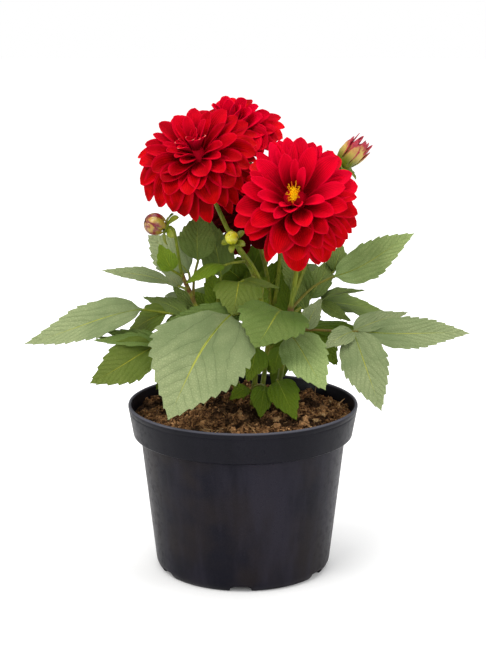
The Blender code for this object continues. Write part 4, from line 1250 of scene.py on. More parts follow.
ALL_TEETH = sorted({part.teeth for leaf in LEAVES.values() for part in leaf.leaflets})
LEAFLETS = {teeth: model_leaflet(teeth) for teeth in ALL_TEETH}
print("leaflet models by teeth:", {teeth: len(blade.data.polygons) for teeth, blade in LEAFLETS.items()})

# %% [markdown]
# ## Leaf green, seven ways
# The outer leaves are a soft grey sage with a bloom on them and yellow towards the tip, the tall ones
# behind are a middle green, the young ones almost lime, and the low ones in the shade a deep clear green,
# which is painted shade. Two leaves that lie in shade get a lighter and greener sage, which is painted
# light.
# All are the same finish with other colours: a pale midrib, side veins as thin dark creases, patches of
# tone, a fine net, and a satin skin; the darkening in the vein creases, beside the veins and along the net
# is painted shade where the relief is low. The underside is duller and more yellow, so it is a finish of
# its own on the second side of each blade.

# %% Finish the leaves
GLOW_SHARE = 0.16


def leaf_finish(name, deep, light, vein, glow_colour, rough, relief=0.6):
    finish = Finish(name, Specular_IOR_Level=0.2)
    lines = finish.effect(leaf_veins, Pairs=6.5, Width=0.05)
    net = finish.effect(veinlet_net, Size=520.0)["Net"]
    tone = finish.effect(patches, Size=42.0)["Patch"]
    skin = finish.effect(grain, Size=1100.0)["Grain"]
    grown = between(lines["Along"], 0.0, 0.75) * 0.7
    blade = blend(finish.mark("shade") * 0.2 + tone * 0.4 + grown, deep, light)
    pitted = blend(between(skin, 0.5, 0.68) * 0.2, blade, [value * 1.25 for value in light])
    # Painted shade: the blade is darkened along the veinlet net, beside the side veins and in the vein
    # creases, where its relief is low.
    net_shaded = blend(0.4 - net * 0.4, pitted, deep)
    quilt_shaded = blend(0.15 - lines["Quilt"] * 0.15, net_shaded, deep)
    crease_shaded = blend(lines["Veins"] * 0.38, quilt_shaded, [value * 0.55 for value in deep])
    fading = (1 - between(lines["Along"], 0.35, 0.95)) * 0.65 + 0.25
    finish.colour(blend(lines["Midrib"] * fading, crease_shaded, vein))
    finish.roughness(skin * 0.18 + rough)
    height = lines["Quilt"] * 0.5 + skin * 0.3 + net * 0.35 - lines["Veins"] * 0.3 - lines["Midrib"] * 0.7
    finish.bump(height, relief, 1.1)
    through = add_node(finish.tree, "BsdfTranslucent", Color=glow_colour)
    finish.add_shader(through, add_node(finish.tree, "MixShader", Fac=GLOW_SHARE), 1)
    return finish.material


# Painted light and shade: the second kind is sage painted lighter and greener for two leaves in shade, and
# the shaded kind is a darker green painted for the low leaves in the shade.
LEAF_COLOURS = {
    "sage": ((0.150, 0.208, 0.080), (0.345, 0.400, 0.190), (0.46, 0.48, 0.06), (0.30, 0.42, 0.05), 0.48),
    "sage_lit": ((0.165, 0.255, 0.068), (0.385, 0.490, 0.178), (0.44, 0.48, 0.06), (0.28, 0.42, 0.04), 0.46),
    "moss": ((0.085, 0.155, 0.022), (0.190, 0.262, 0.066), (0.42, 0.46, 0.06), (0.24, 0.40, 0.03), 0.46),
    "meadow": ((0.095, 0.150, 0.024), (0.200, 0.270, 0.060), (0.34, 0.40, 0.06), (0.20, 0.34, 0.02), 0.46),
    "olive": ((0.080, 0.130, 0.007), (0.155, 0.200, 0.034), (0.38, 0.38, 0.03), (0.24, 0.34, 0.01), 0.48),
    "young": ((0.095, 0.175, 0.006), (0.195, 0.285, 0.014), (0.36, 0.44, 0.03), (0.30, 0.44, 0.02), 0.42),
    "shaded": ((0.070, 0.132, 0.002), (0.138, 0.212, 0.006), (0.30, 0.38, 0.03), (0.16, 0.30, 0.01), 0.44),
    "underside": ((0.085, 0.13, 0.018), (0.15, 0.2, 0.042), (0.32, 0.36, 0.1), (0.24, 0.38, 0.03), 0.55, 0.4),
}
LEAF_FINISHES = {name: leaf_finish("leaf_" + name, *colours) for name, colours in LEAF_COLOURS.items()}
print("leaf finishes:", list(LEAF_FINISHES))

# %% [markdown]
# ## Lay the leaves
# Each leaflet runs from its place on the stalk to its tip, arches in between, faces partly up and partly
# forward, and has its margins lifted by the fold. To that the fine leaflet adds what a real one has:
# margins that ripple, a blade that bellies a little beside the midrib, a sway to one side, and a midrib
# that stands out below.

# %% Lay one leaf
BLADE_THICKNESS = 0.55
RIB_STEPS, RIB_END, RIB_DROP = 12, 0.88, 0.35
# Share of the length times the rest of it squared is 4/27 at its highest, so this brings it to 1
ARCH_SCALE = 6.75


def leaflet_rules(root, leaflet, draw):
    """Where each corner of a flat leaflet comes to lie, and where its rib runs below it, in millimetres."""
    root, tip = Vector(root), Vector(leaflet.tip)
    length = (tip - root).length
    along = (tip - root).normalized()
    look = UP.lerp(FRONT, leaflet.facing)
    face = (look - along * look.dot(along)).normalized()
    side = face.cross(along)
    half = leaflet.width / 2
    fold = math.tan(math.radians(leaflet.fold))
    waves = draw.uniform(2.2, 3.4)
    starts = (draw.uniform(0, 6.28), draw.uniform(0, 6.28))
    swing = draw.uniform(-0.035, 0.035) * length

    def rib(share):
        share = min(max(share, 0), 1)
        sway = side * swing * math.sin(math.pi * share)
        arch = face * leaflet.arch * ARCH_SCALE * share * (1 - share) ** 2
        return root + along * length * share + arch + sway

    def rule(corner):
        share, spread = corner.x, corner.y
        ripple = 0.055 * half * math.sin(waves * FULL_TURN * share + starts[spread > 0]) * spread ** 2
        belly = 0.07 * half * math.sin(math.pi * min(1, abs(spread))) * (1 - share)
        return rib(share) + side * half * spread + face * (fold * half * abs(spread) + ripple + belly)

    return rule, lambda share: rib(share) - face * RIB_DROP

# %% Lay every leaf
def slim_base(rule):
    """The big front leaflet is narrower on the left of its root."""
    def slimmer(corner):
        share = 0.34 * math.exp(-((corner.x - 0.17) / 0.17) ** 2) if corner.y < 0 else 0
        return rule(Vector((corner.x, corner.y * (1 - share), 0)))

    return slimmer


def make_leaf(name, leaf):
    draw = random.Random(name)
    centre, stem_radius = stem_at(leaf.stem, leaf.height)
    outward = (Vector(leaf.stalk[0]) - centre).normalized()
    stalks = [stalk_along(
        short_stalk, name + "_stalk", smooth_path([centre + outward * stem_radius * 0.7, *leaf.stalk], 5),
        lambda share: 1.05 + 0.75 * (1 - share) ** 6, blush=lambda corner: leaf.red * (1 - 0.5 * corner.z),
    )]
    blades = []
    kinds = leaf.finishes.split()
    for number, part in enumerate(leaf.leaflets):
        rule, rib = leaflet_rules(leaf.stalk[part.at], part, draw)
        if (name, number) == ("leaf_front", 0):
            rule = slim_base(rule)
        blade = laid(LEAFLETS[part.teeth], name + "_blade", rule, shade=draw.random())
        finished(blade, LEAF_FINISHES[kinds[min(number, len(kinds) - 1)]], LEAF_FINISHES["underside"])
        blades.append(thicken(blade, BLADE_THICKNESS, under=1))
        thick = mix(0.7, 1.25, min(1, part.width / 60))
        line = [rib(step / RIB_STEPS * RIB_END) for step in range(RIB_STEPS + 1)]
        stalks.append(stalk_along(
            short_stalk, name + "_rib", line, lambda share: thick * (1 - 0.85 * share), blush=0.0,
        ))
    stalk = finished(join(name + "_stalks", stalks), stem_green)
    return join(name.replace("leaf", "foliage"), [*blades, stalk])


for leaf_name, leaf in LEAVES.items():
    dress(make_leaf(leaf_name, leaf), leaf_name, 45)
throw_away(*LEAFLETS.values())

# %% [markdown]
# ## One petal, laid three hundred times
# A dahlia's bloom is a spiral of ray petals: the inner ones small, rolled and upright, the outer ones
# broad, spoon shaped and folded back. A petal is narrow at its root, widest beyond its middle and ends in a
# small blunt point. It is modelled once from a grid, and each copy gets its own lean, length, width and
# cup. On the far side each petal turns from the one before by the golden angle, as on the plant. On the
# near side a rule alone would give some other dahlia, so there every petal reaches for the point where its
# tip shows in the photograph.

# %% Model the petal
petal = drawn_blade(
    "petal", 8, (0, 0.14, 0.30, 0.45, 0.58, 0.70, 0.81, 0.90, 0.96, 1),
    (0.26, 0.48, 0.73, 0.91, 1.0, 0.99, 0.88, 0.66, 0.40, 0.04),
)
print("petal faces:", len(petal.data.polygons))

# %% Keep the blooms apart
def press_planes(name):
    """The planes where a bloom meets its neighbours: a point on each, and the direction into the bloom."""
    bloom = BLOOMS[name]
    planes = []
    for other_name, other in (*BLOOMS.items(), *BUDS.items()):
        apart = Vector(other.centre) - Vector(bloom.centre)
        if other_name != name and apart.length < bloom.radius + other.radius + 2 * PRESS_DEPTH:
            share = bloom.radius / (bloom.radius + other.radius)
            facing = Vector((apart.x, apart.y * PRESS_TURN, apart.z)).normalized()
            planes.append((Vector(bloom.centre) + apart * share, -facing))
    return planes


def pressed(point, planes):
    """Where a petal point comes to lie when the neighbouring blooms hold it back."""
    for middle, inward in planes:
        clear = (point - middle).dot(inward) - GAP
        if clear < PRESS_DEPTH:
            point = point + inward * (PRESS_DEPTH * math.exp(clear / PRESS_DEPTH - 1) - clear)
    return point

# %% Lay one petal
PETAL_STEPS = 20
ROOT_DEPTH = 3


def petal_root(bloom, axis, outward, angle):
    """A place a little inside the core, at an angle from the bloom's axis."""
    size = bloom.radius / COMMON_RADIUS
    return (
        Vector(bloom.centre) + outward * (CORE_RADIUS - ROOT_DEPTH) * size * math.sin(math.radians(angle))
        + axis * (bloom.core_height - ROOT_DEPTH * size) * math.cos(math.radians(angle))
    )


def leaning_spine(root, axis, outward, leans, length):
    """The places and leans along a petal that turns evenly from its first lean to its last."""
    point = root.copy()
    spine = []
    for step in range(PETAL_STEPS + 1):
        spine.append((point.copy(), mix(*leans, step / PETAL_STEPS)))
        middle = mix(*leans, (step + 0.5) / PETAL_STEPS)
        point += (outward * math.sin(middle) + axis * math.cos(middle)) * length / PETAL_STEPS
    return spine


def reaching_spine(root, axis, outward, centre, tip):
    """The places and leans along a petal that reaches for a tip, and arches more if it folds back more."""
    away = tip - centre
    angle = math.atan2(away.dot(outward), away.dot(axis))
    arched = centre + (axis * math.cos(angle / 2) + outward * math.sin(angle / 2)) * away.length * 0.86
    share = min(max((math.degrees(angle) - 60) / 50, 0.12), 1)
    middle = ((root + tip) / 2).lerp(arched, share)
    spine = []
    for step in range(PETAL_STEPS + 1):
        s = step / PETAL_STEPS
        point = root * (1 - s) ** 2 + middle * 2 * s * (1 - s) + tip * s ** 2
        ahead = (middle - root) * (1 - s) + (tip - middle) * s
        spine.append((point, math.atan2(ahead.dot(outward), ahead.dot(axis))))
    return spine


CUP_CURL = 0.9
RIDGE_HEIGHT, RIDGE_WIDTH = 0.035, 0.22


def petal_rule(planes, spine, axis, outward, width, roll_degrees, cups):
    """Lays the flat petal along its spine, with cupped sides."""
    roll = Matrix.Rotation(math.radians(roll_degrees), 3, outward)
    side = roll @ axis.cross(outward).normalized()
    spine = [(point, roll @ (axis * math.sin(lean) - outward * math.cos(lean))) for point, lean in spine]

    def rule(corner):
        at = min(max(corner.x, 0), 1) * PETAL_STEPS
        index = min(int(at), PETAL_STEPS - 1)
        (start, face), (end, end_face) = spine[index:index + 2]
        face = face.lerp(end_face, at - index).normalized()
        cup = mix(*cups, corner.x)
        bend = 1 + CUP_CURL * cup
        reach = math.sin(corner.y * bend) / math.sin(bend) if cup > 0.3 else corner.y
        lift = cup * corner.y ** 2 - RIDGE_HEIGHT * math.exp(-(corner.y / RIDGE_WIDTH) ** 2)
        return pressed(start.lerp(end, at - index) + side * width / 2 * reach + face * width * lift, planes)

    return rule

# %% [markdown]
# ## Where the petals point
# These are the tips of the petals that show in the photograph, each with its picture point and its width. A
# picture point alone has no depth. A bloom is a ball, so the tip is set where the line of sight meets a
# ball round the bloom's centre, a smaller one for the petals near its eye, which makes the inner petals lie
# over the outer ones.

# %% Read the tips
FOCAL = LENS / SENSOR * PICTURE[1]
EYE = camera.location / MM
HEARTS = {"bloom_left": (188, 137), "bloom_right": (292, 190), "bloom_back": (236, 112)}
PETAL_TIPS = {
    "bloom_left": (
        (210, 223, 15), (196, 222, 12), (184, 217, 19), (158, 207, 16), (147, 201, 16), (140, 184, 17),
        (139, 163, 14), (145, 150, 9), (145, 144, 10), (153, 134, 7), (159, 123, 11), (174, 116, 12),
        (186, 116, 8), (195, 108, 13), (210, 112, 9), (226, 110, 13), (237, 116, 12), (248, 123, 13),
        (257, 134, 9), (257, 144, 13), (257, 161, 8), (255, 174, 9), (242, 159, 11), (243, 190, 13),
        (234, 186, 19), (215, 204, 20), (189, 195, 16), (168, 195, 16), (153, 171, 16), (172, 175, 13),
        (206, 175, 15), (167, 151, 8), (163, 144, 7), (237, 137, 11), (222, 145, 8), (220, 157, 8),
        (225, 123, 7), (175, 126, 7), (205, 120, 8), (176, 157, 8), (226, 207, 14), (241, 176, 12),
        (172, 212, 17), (163, 181, 15), (224, 172, 12), (200, 189, 14), (250, 168, 12), (252, 183, 12),
        (247, 197, 12), (238, 205, 12), (232, 214, 11), (183, 163, 9), (256, 153, 14),
    ),
    "bloom_right": (
        (301, 137, 14), (287, 137, 11), (279, 140, 10), (270, 142, 8), (313, 142, 13), (321, 145, 9),
        (333, 151, 11), (339, 157, 11), (352, 173, 12), (358, 186, 16), (357, 197, 10), (358, 214, 13),
        (357, 226, 12), (352, 233, 9), (348, 239, 10), (341, 247, 15), (335, 251, 12), (327, 262, 16),
        (319, 265, 12), (298, 272, 18), (297, 261, 19), (278, 253, 18), (270, 258, 9), (267, 262, 9),
        (250, 240, 12), (234, 225, 13), (236, 210, 16), (252, 225, 15), (242, 188, 13), (251, 178, 8),
        (250, 172, 9), (257, 160, 12), (257, 152, 9), (272, 142, 12), (295, 159, 6), (313, 147, 12),
        (337, 158, 15), (345, 187, 12), (324, 201, 9), (347, 208, 13), (333, 214, 12), (307, 226, 13),
        (327, 233, 12), (305, 246, 17), (320, 248, 13), (293, 235, 11), (275, 218, 8), (261, 209, 10),
        (290, 212, 11), (258, 195, 9), (284, 154, 11), (304, 168, 7), (300, 206, 6), (281, 206, 7),
        (245, 233, 12),
    ),
    "bloom_back": (
        (222, 97, 11), (229, 99, 9), (234, 103, 8), (246, 100, 13), (258, 106, 11), (270, 114, 11),
        (281, 117, 10), (285, 127, 10), (275, 131, 12), (262, 117, 12), (240, 108, 12), (212, 105, 9),
        (217, 104, 8), (251, 112, 12), (278, 140, 11), (266, 133, 12), (256, 152, 18), (246, 149, 16),
        (267, 147, 17), (274, 150, 12), (283, 138, 14), (262, 156, 15),
    ),
}


def seen_at(x, y, centre, reach):
    """The nearest place at that reach from a centre on the line of sight through a picture point."""
    sight = Vector(((x - PICTURE[0] / 2) / FOCAL, (PICTURE[1] / 2 - y) / FOCAL, -1))
    sight.rotate(camera.rotation_euler)
    sight.normalize()
    foot = EYE + sight * (centre - EYE).dot(sight)
    return foot - sight * math.sqrt(max(reach ** 2 - (foot - centre).length_squared, 4))


print("petal tips read:", {name: len(tips) for name, tips in PETAL_TIPS.items()})

# %% [markdown]
# ## Petal red
# The red is deep and saturated towards each petal's root, as painted shade where petals shade each other,
# scarlet in the open, and pinkish on the backs. The skin is velvety, and velvet is sheen, which stays on
# the shader; the pink along the rolled sides of each petal is painted sheen. The lines, edges and roots come
# from the petal's own map, and each petal has its own share of scarlet, of pink and of a pale tip. The low
# bloom hides in deep shade, so its red is painted darker on both sides, as painted shade.

# %% Finish the petals
def petal_finish(name, deep, bright, edge, line_share, sheen):
    finish = Finish(
        name, Roughness=0.55, Specular_IOR_Level=0.03, Sheen_Weight=sheen, Sheen_Roughness=0.35,
        Sheen_Tint=(1.0, 0.01, 0.10),
    )
    lines = finish.effect(petal_lines, Lines=11.0)
    tone = finish.effect(patches, Size=60.0)
    scarlet = blend(finish.mark("shade") * 0.6 + tone["Patch"] * 0.4, deep, bright)
    body = blend(finish.mark("pink") * 0.9, scarlet, edge)
    # Painted shade: each petal is darkened towards its root, where the petals shade each other.
    hollow = blend(lines["Root"] * 0.78, body, (0.09, 0.0003, 0.0006))
    # The lengthwise lines are darkened, partly as veins and partly as painted shade in the creases.
    lined = blend(lines["Line"] * line_share, hollow, deep)
    # Painted sheen: pink along the rolled sides of each petal; the same pink is the petals' own pink colour.
    sheen_rimmed = blend(lines["Edge"] * 0.35, lined, edge)
    finish.colour(blend(lines["Tip"] ** 6 * finish.mark("pale"), sheen_rimmed, (0.75, 0.30, 0.24)))
    finish.bump(tone["Fleck"] * 0.12 + lines["Line"], 0.35, 0.35)
    return finish.material


petal_face = petal_finish(
    "petal_scarlet", (0.21, 0.0002, 0.0007), (0.90, 0.0003, 0.003), (0.88, 0.001, 0.036), 0.36, 0.03,
)
petal_back = petal_finish(
    "petal_reverse", (0.34, 0.0006, 0.010), (0.54, 0.001, 0.026), (0.62, 0.003, 0.048), 0.25, 0.1,
)
# The low bloom's finish is the same reds painted much darker, as painted shade.
petal_painted_shade = petal_finish(
    "petal_painted_shade", (0.030, 0.0002, 0.0003), (0.12, 0.0005, 0.001), (0.16, 0.001, 0.006), 0.35, 0,
)
print("petal finishes:", [finish.name for finish in (petal_face, petal_back, petal_painted_shade)])

# %% Make the blooms
SEEN_FROM = -0.25
HEART_SHARE = 0.17
LAST_ROOT = 112
CORE_SHOULDER = 28
PIXELS_PER_MM = 1.24
SHADE_DEPTH = 75


def bloom_core(bloom, axes):
    """The small body that the petals grow from, flat inside its shoulder."""
    size = bloom.radius / COMMON_RADIUS
    rings = [(0.75 * CORE_RADIUS * size, -CORE_SINK * size)]
    for angle in (100, 75, 50, CORE_SHOULDER, 12):
        height = bloom.core_height * math.cos(math.radians(max(angle, CORE_SHOULDER)))
        rings.append((CORE_RADIUS * size * math.sin(math.radians(angle)), height))
    return finished(set_on(turned("core", rings, 16), Vector(bloom.centre), axes), petal_face)


def make_bloom(name):
    bloom = BLOOMS[name]
    draw, extra = random.Random(bloom.seed), random.Random(bloom.seed + 500)
    size = bloom.radius / COMMON_RADIUS
    planes = press_planes(name)
    centre = Vector(bloom.centre)
    to_eye = (EYE - centre).normalized()
    across, over, axis = axes_of(bloom.axis)
    petals = []

    def add_spiral(share, turn, chance, length_share, width_share):
        """A petal of the spiral, unless its tip would lie on the near side, where the seen petals are."""
        first = math.radians(mix(bloom.inner[0], bloom.outer[0], share ** 0.75) + chance.uniform(-4, 4))
        last = math.radians(mix(bloom.inner[1], bloom.outer[1], share ** 0.62) + chance.uniform(-5, 5))
        grown = min(1, share * 2.2)
        heart = share < HEART_SHARE and name != "bloom_right"
        length = size * mix(15, 43, grown ** 0.8) * chance.uniform(0.94, 1.06)
        length *= length_share * (1 - 0.28 * heart)
        width = size * mix(0.44, 0.88, grown) * bloom.petal_width * width_share * (1 - 0.5 * heart)
        roll = chance.uniform(-6, 6)
        outward = ring_direction(across, over, turn)
        root = petal_root(bloom, axis, outward, mix(bloom.first_root, LAST_ROOT, share))
        spine = leaning_spine(root, axis, outward, (first, last), length)
        nearness = (spine[-1][0] - centre).dot(to_eye) / bloom.radius
        if name in PETAL_TIPS and nearness > SEEN_FROM and not heart:
            return
        cups = (mix(0.6, 0.16, grown), mix(0.7, 0.10, grown) + extra.uniform(-0.03, 0.09))
        rule = petal_rule(planes, spine, axis, outward, width, roll, cups)
        pale = extra.uniform(0.3, 1) if heart and name == "bloom_left" else 0.0
        petals.append(laid(
            petal, name + "_petal", rule, shade=0.6 * extra.random(), pale=pale, pink=0.4 * heart,
        ))

    def add_seen(x, y, width):
        """A petal that reaches for a tip in the picture."""
        heart_x, heart_y = HEARTS[name]
        spread = math.hypot(x - heart_x, y - heart_y) / (bloom.radius * PIXELS_PER_MM)
        tip = seen_at(x, y, centre, bloom.radius * min(0.98, 0.74 + 0.26 * spread) * extra.uniform(0.98, 1.0))
        away = tip - centre
        outward = (away - axis * away.dot(axis)).normalized()
        lowest = min(LAST_ROOT, bloom.first_root + math.degrees(away.angle(axis)) * 0.72)
        spine = reaching_spine(petal_root(bloom, axis, outward, lowest), axis, outward, centre, tip)
        hollow = extra.uniform(0.2, 0.5) * (1.25 - 0.6 * min(1, spread))
        facing = (axis + to_eye * (0.3 if name == "bloom_right" else 1.2)).normalized()
        roll = extra.uniform(-15, 15)
        rule = petal_rule([], spine, facing, outward, 1.2 * width, roll, (hollow, hollow * 0.6))
        # Painted light and shade: on the right bloom the petals above its eye get more pink as painted sheen,
        # and petals lower in the picture than the eye get less scarlet and less pink as painted shade; all
        # seen petals of the left bloom are darker still, as painted shade.
        high = 0.7 * (name == "bloom_right" and y < heart_y)
        pink = min(1, max(high, 1.2 - spread) * extra.uniform(0.6, 1.5))
        dim = 0.45 if name == "bloom_left" else 1
        lit = mix(1.0, 0.2, min(1, max(0, (y - heart_y) / SHADE_DEPTH))) * dim
        petals.append(laid(
            petal, name + "_seen", rule, shade=lit * extra.uniform(0.3, 1), pale=0.0, pink=pink * lit,
        ))

    for index in range(bloom.petals):
        turn = index * GOLDEN_TURN + math.radians(draw.uniform(-5, 5))
        add_spiral(((index + 0.5) / bloom.petals) ** 0.85, turn, draw, 1.0, 1.0)
    for seen_petal in PETAL_TIPS.get(name, ()):
        add_seen(*seen_petal)
    fillers = bloom.petals - 4
    for index in range(fillers):
        share = ((index + 0.8) / fillers) ** 0.9
        add_spiral(share * 0.97, (index + 0.5) * GOLDEN_TURN + 0.7, extra, 0.95, 0.92)
    # The low bloom gets its darker finish, painted shade, on both sides.
    sides = (petal_painted_shade, petal_painted_shade) if name == "bloom_low" else (petal_face, petal_back)
    blades = thicken(finished(join(name + "_petals", petals), *sides), 0.6, under=1)
    return join(name.replace("bloom", "ball_of_petals"), [blades, bloom_core(bloom, (across, over, axis))])


for bloom_name in BLOOMS:
    dress(make_bloom(bloom_name), bloom_name, 55)

# %% [markdown]
# ## The yellow eye
# Only the right bloom is open far enough to show its disc: a low dome of little tubes, deep yellow in the
# middle, with a few orange ones that curl outwards at its rim. One floret is drawn up from a circle and
# flared at its mouth, and copies stand on the dome in the same golden spiral.

# %% Make the disc
FLORET_RINGS = ((0.42, 0), (0.378, 0.35), (0.3969, 0.7), (0.59535, 0.9), (0.62512, 1.0), (0.31256, 0.88))
DOME_RINGS = ((4.0, 0), (4.3, 0.6), (3.6, 1.5), (2.4, 2.2), (1.0, 2.6))
FLORETS, CURLS = 34, 13


def make_disc():
    bloom = BLOOMS["bloom_right"]
    across, over, axis = axes_of(bloom.axis)
    across, over = across * 0.72, over * 1.3
    base = Vector(bloom.centre) + axis * (bloom.core_height * math.cos(math.radians(CORE_SHOULDER)) + GAP)
    draw = random.Random(9)
    pieces = [set_on(turned("dome", DOME_RINGS, 16), base, (across, over, axis))]
    for index in range(FLORETS):
        share = math.sqrt((index + 0.5) / FLORETS)
        outward = ring_direction(across, over, index * GOLDEN_TURN)
        root = base + outward * 3.9 * share + axis * (2.4 - 1.8 * share ** 2)
        lean = 0.75 * share ** 2 + draw.uniform(-0.1, 0.1)
        up = (axis * math.cos(lean) + outward * math.sin(lean)).normalized()
        side = up.orthogonal().normalized()
        tall = draw.uniform(2.4, 3.4) * (1 - 0.15 * share)

        def rule(corner):
            return root + side * corner.x + up.cross(side) * corner.y + up * corner.z * tall

        pieces.append(laid(floret, "floret", rule, rim=max(0, share - 0.72) * 3 * draw.random()))
    for index in range(CURLS):
        outward = ring_direction(across, over, index * FULL_TURN / CURLS + draw.uniform(-0.3, 0.3))
        line = [base + outward * reach + axis * high for reach, high in
                ((3.6, 0.6), (5.2, 3.2), (6.6 + 2 * draw.random(), 5.4), (6.0, 6.8 + 2 * draw.random()))]
        pieces.append(stalk_along(
            short_stalk, "curl", smooth_path(line, 4),
            lambda share: 0.62 * (1 - 0.5 * share), rim=draw.uniform(0.3, 1),
        ))
    return join("disc_florets", pieces)

# %% Finish the disc
def disc_yellow():
    finish = Finish("floret_yellow", Roughness=0.5, Specular_IOR_Level=0.1)
    tone = finish.effect(patches, Size=260.0)
    yellow = blend(tone["Patch"], (1.0, 0.54, 0.001), (1.0, 0.80, 0.004))
    finish.colour(blend(finish.mark("rim"), yellow, (0.62, 0.055, 0.006)))
    finish.bump(tone["Fleck"], 0.3, 0.2)
    return finish.material


floret = turned("floret", FLORET_RINGS, 6, unit=1)
dress(finished(make_disc(), disc_yellow()), "disc_right_bloom", 50)

# %% [markdown]
# ## The buds
# A closed bud is a ball of tight petals that overlap round it, and a ball with painted seams would show its
# trick from the side. So a core is turned, and the same petal as before is wrapped over it, in an outer and
# an inner round, from the seat nearly to the top. The left one is striped with dark red, the green one is
# plain.

# %% Wrap the closed buds
CORE_TURNS = (0.45, 0.8, 1.2, 1.6, 2.0, 2.4, 2.75, 3.0)
Round = namedtuple("Round", "petals reach start end wide")
STRIPED_ROUNDS = (Round(6, 1.0, 2.55, 0.42, 0.55), Round(5, 0.96, 2.3, 0.16, 0.5))
GREEN_ROUNDS = (Round(5, 1.0, 2.55, 0.2, 0.62), Round(4, 0.97, 2.3, 0.1, 0.5))


def wrapped_bud(name, piece_name, rounds, twist):
    """A closed bud; the petals of a round run from its start to its end, both angles from the bud's axis."""
    bud = BUDS[name]
    across, over, axis = axes_of(bud.axis)
    centre = Vector(bud.centre)
    reach_in = bud.radius * CORE_SHARE
    rings = [(reach_in * math.sin(turn), -reach_in * math.cos(turn)) for turn in CORE_TURNS]
    core = set_on(turned(name + "_core", rings, 20), centre, (across, over, axis))
    pieces = []
    draw = random.Random(name)
    for layer, (petals, reach, start, end, wide) in enumerate(rounds):
        for index in range(petals):
            middle = FULL_TURN * (index + 0.5 * layer) / petals + draw.uniform(-0.1, 0.1)

            def rule(corner):
                down = mix(start, end, corner.x)
                turn = middle + twist * corner.x + corner.y * wide / max(math.sin(down), 0.25)
                radius = bud.radius * (reach - 0.045 * corner.y ** 2 - 0.03 * corner.y)
                outward = ring_direction(across, over, turn) * math.sin(down) + axis * math.cos(down)
                return centre + outward * radius

            draw.random()  # one number is passed over for each petal
            pieces.append(laid(petal, name + "_petal", rule, streak=draw.random()))
    return join(piece_name, [thicken(join(name + "_wraps", pieces), 0.45), core])

# %% Finish the closed buds
def bud_finish(name, low, high, streak_colour, tip_colour, gloss, streaks):
    finish = Finish(name, Roughness=gloss, Coat_Weight=0.35, Coat_Roughness=0.15)
    lines = finish.effect(petal_lines, Lines=9.0)
    tone = finish.effect(patches, Size=150.0)["Patch"]
    along = blade_share(finish.tree, "X")
    body = blend(tone * 0.35 + lines["Line"] * 0.2 + between(along, 0.1, 0.7) * 0.5, low, high)
    marked = lines["Edge"] * 0.4 + finish.mark("streak") * 0.45 + tone * 0.25 + 0.16
    streak = between(marked, 0.36, 0.62) * between(along, 0.1, 0.35) * streaks
    finish.colour(blend(lines["Tip"] * 0.85, blend(streak, body, streak_colour), tip_colour))
    finish.bump(lines["Line"], 0.3, 0.3)
    return finish.material


bud_striped = bud_finish(
    "bud_striped", (0.17, 0.18, 0.006), (0.60, 0.35, 0.07), (0.17, 0.008, 0.014), (0.15, 0.045, 0.018),
    gloss=0.3, streaks=1.0,
)
# The green bud runs from dark green at its seat to light yellow at its top, partly its colour and partly
# painted shade on its lower half.
bud_lime = bud_finish(
    "bud_lime", (0.22, 0.26, 0.004), (0.78, 0.72, 0.03), (0.30, 0.30, 0.01), (0.66, 0.60, 0.04),
    gloss=0.2, streaks=0.3,
)
striped_bud = finished(wrapped_bud("bud_left", "striped_bud", STRIPED_ROUNDS, 0.7), bud_striped)
green_bud = finished(wrapped_bud("bud_green", "green_bud", GREEN_ROUNDS, 0.4), bud_lime)
dress(striped_bud, "bud_left", 60)
dress(green_bud, "bud_green", 60)

# %% [markdown]
# ## The half-open bud
# This one has let its outer petals go: they stand up round it like a cup of pale green blades with red
# margins, and the red inner ones show between them. The blades are flat and pointed, so they are copies of
# the bract, stood up in four rounds over a turned core.

# %% Stand up the half-open bud
OPENING_CORE = ((5.2, 0.35), (7.2, 2.5), (8.0, 6), (7.4, 11), (4.6, 16), (2, 18))
OPENING_ROUNDS = (
    (8, 1.0, 0.84, 3.7, 0.0), (8, 0.84, 0.97, 3.1, 0.4), (7, 0.6, 1.0, 2.4, 0.2), (4, 0.3, 0.98, 1.8, 0.6),
)


def make_opening_bud():
    """Each round is its blades, its reach, their length and width, and where the first one stands."""
    across, over, axis = axes_of(OPENING_BUD_AXIS)
    core = set_on(turned("opening_core", OPENING_CORE, 20), OPENING_BUD_BASE, (across, over, axis))
    draw = random.Random(5)
    pieces = []
    for blades, reach, length, wide, start in OPENING_ROUNDS:
        for index in range(blades):
            turn = start + FULL_TURN * index / blades + draw.uniform(-0.12, 0.12)
            outward = ring_direction(across, over, turn)
            side = axis.cross(outward)
            tall = OPENING_BUD_LENGTH * length * draw.uniform(0.82, 1.03)
            flare = draw.uniform(0, 5)

            def rule(corner):
                share = corner.x
                swell = 5.4 + 17 * share * (1 - share) + (0.6 + flare) * share ** 3
                away = reach * swell - 0.5 * wide * corner.y ** 2 * (1 - 0.4 * share)
                foot = OPENING_BUD_BASE + side * wide * corner.y
                return foot + axis * (0.8 + tall * share) + outward * away

            flushed = 0.25 * draw.random() if reach == 1.0 else 0.45 + 0.5 * (reach < 0.8)
            pieces.append(laid(bract, "opening_petal", rule, streak=flushed))
    return join("half_open_bud", [thicken(join("opening_petals", pieces), 0.6), core])

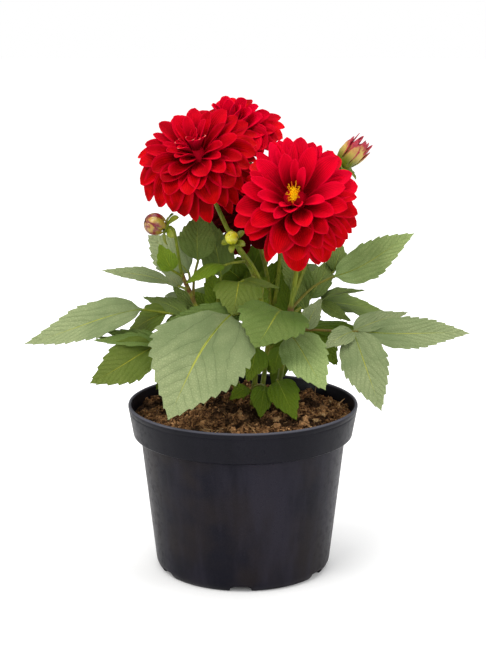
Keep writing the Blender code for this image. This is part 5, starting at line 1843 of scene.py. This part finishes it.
# %% Finish the half-open bud
def opening_finish():
    finish = Finish("bud_opening", Roughness=0.42)
    lines = finish.effect(petal_lines, Lines=9.0)
    tone = finish.effect(patches, Size=120.0)["Patch"]
    along = blade_share(finish.tree, "X")
    low = blend(between(along, 0.15, 0.6), (0.12, 0.19, 0.003), (0.70, 0.52, 0.12))
    flushed = finish.mark("streak") * 0.5 + tone * 0.2 + lines["Edge"] * 0.35 + along
    body = blend(between(flushed, 0.74, 1.1), low, (0.44, 0.008, 0.045))
    finish.colour(blend(lines["Line"] * 0.2, body, (0.28, 0.06, 0.02)))
    finish.bump(lines["Line"], 0.35, 0.4)
    return finish.material


dress(finished(make_opening_bud(), opening_finish()), "bud_right", 55)
throw_away(petal, bract, floret, long_stalk.unit, short_stalk.unit)

# %% [markdown]
# ## The floor
# The plant stands on a pale floor that is only stage. It is one big plate. Under the pot it is only lit, so
# that the pot has its soft shadow. From the foot of the pot outwards it also glows for the camera alone, a
# little at first and more with the distance, as overexposed paper does; this glow is painted light that
# fades the pot's shadow out into white.

# %% Lay the floor
FLOOR_HALF, FLOOR_SINK = 6, 0.0003


def make_floor():
    floor = start_from(bpy.ops.mesh.primitive_plane_add, "paper_floor", size=2)
    bpy.ops.transform.resize(value=(FLOOR_HALF, FLOOR_HALF, 1))
    bpy.ops.transform.translate(value=(0, 0, -FLOOR_SINK))
    close_mesh(floor, outwards=False)
    finish = Finish("pale_floor", Roughness=0.85)
    finish.colour(blend(finish.effect(patches, Size=3.0)["Patch"], (0.84, 0.84, 0.84), (0.86, 0.86, 0.86)))
    place = object_place(finish.tree)
    distance = read(finish.tree, "VectorMath", "Value", {"operation": "LENGTH"}, Vector=place)
    # Painted light: the floor glows for the camera only, more with the distance from the pot, so that the
    # pot's shadow fades out into white.
    glow = between(distance, 0.055, 0.08) * 0.26 + between(distance, 0.16, 0.9) * 0.46
    seen = read(finish.tree, "LightPath", "Is Camera Ray")
    lift = add_node(finish.tree, "Emission", Color=(1, 1, 1), Strength=seen * glow)
    finish.add_shader(lift, add_node(finish.tree, "AddShader"), 0)
    return finished(floor, finish.material)


make_floor()

# %% Let go of every piece
take_up()
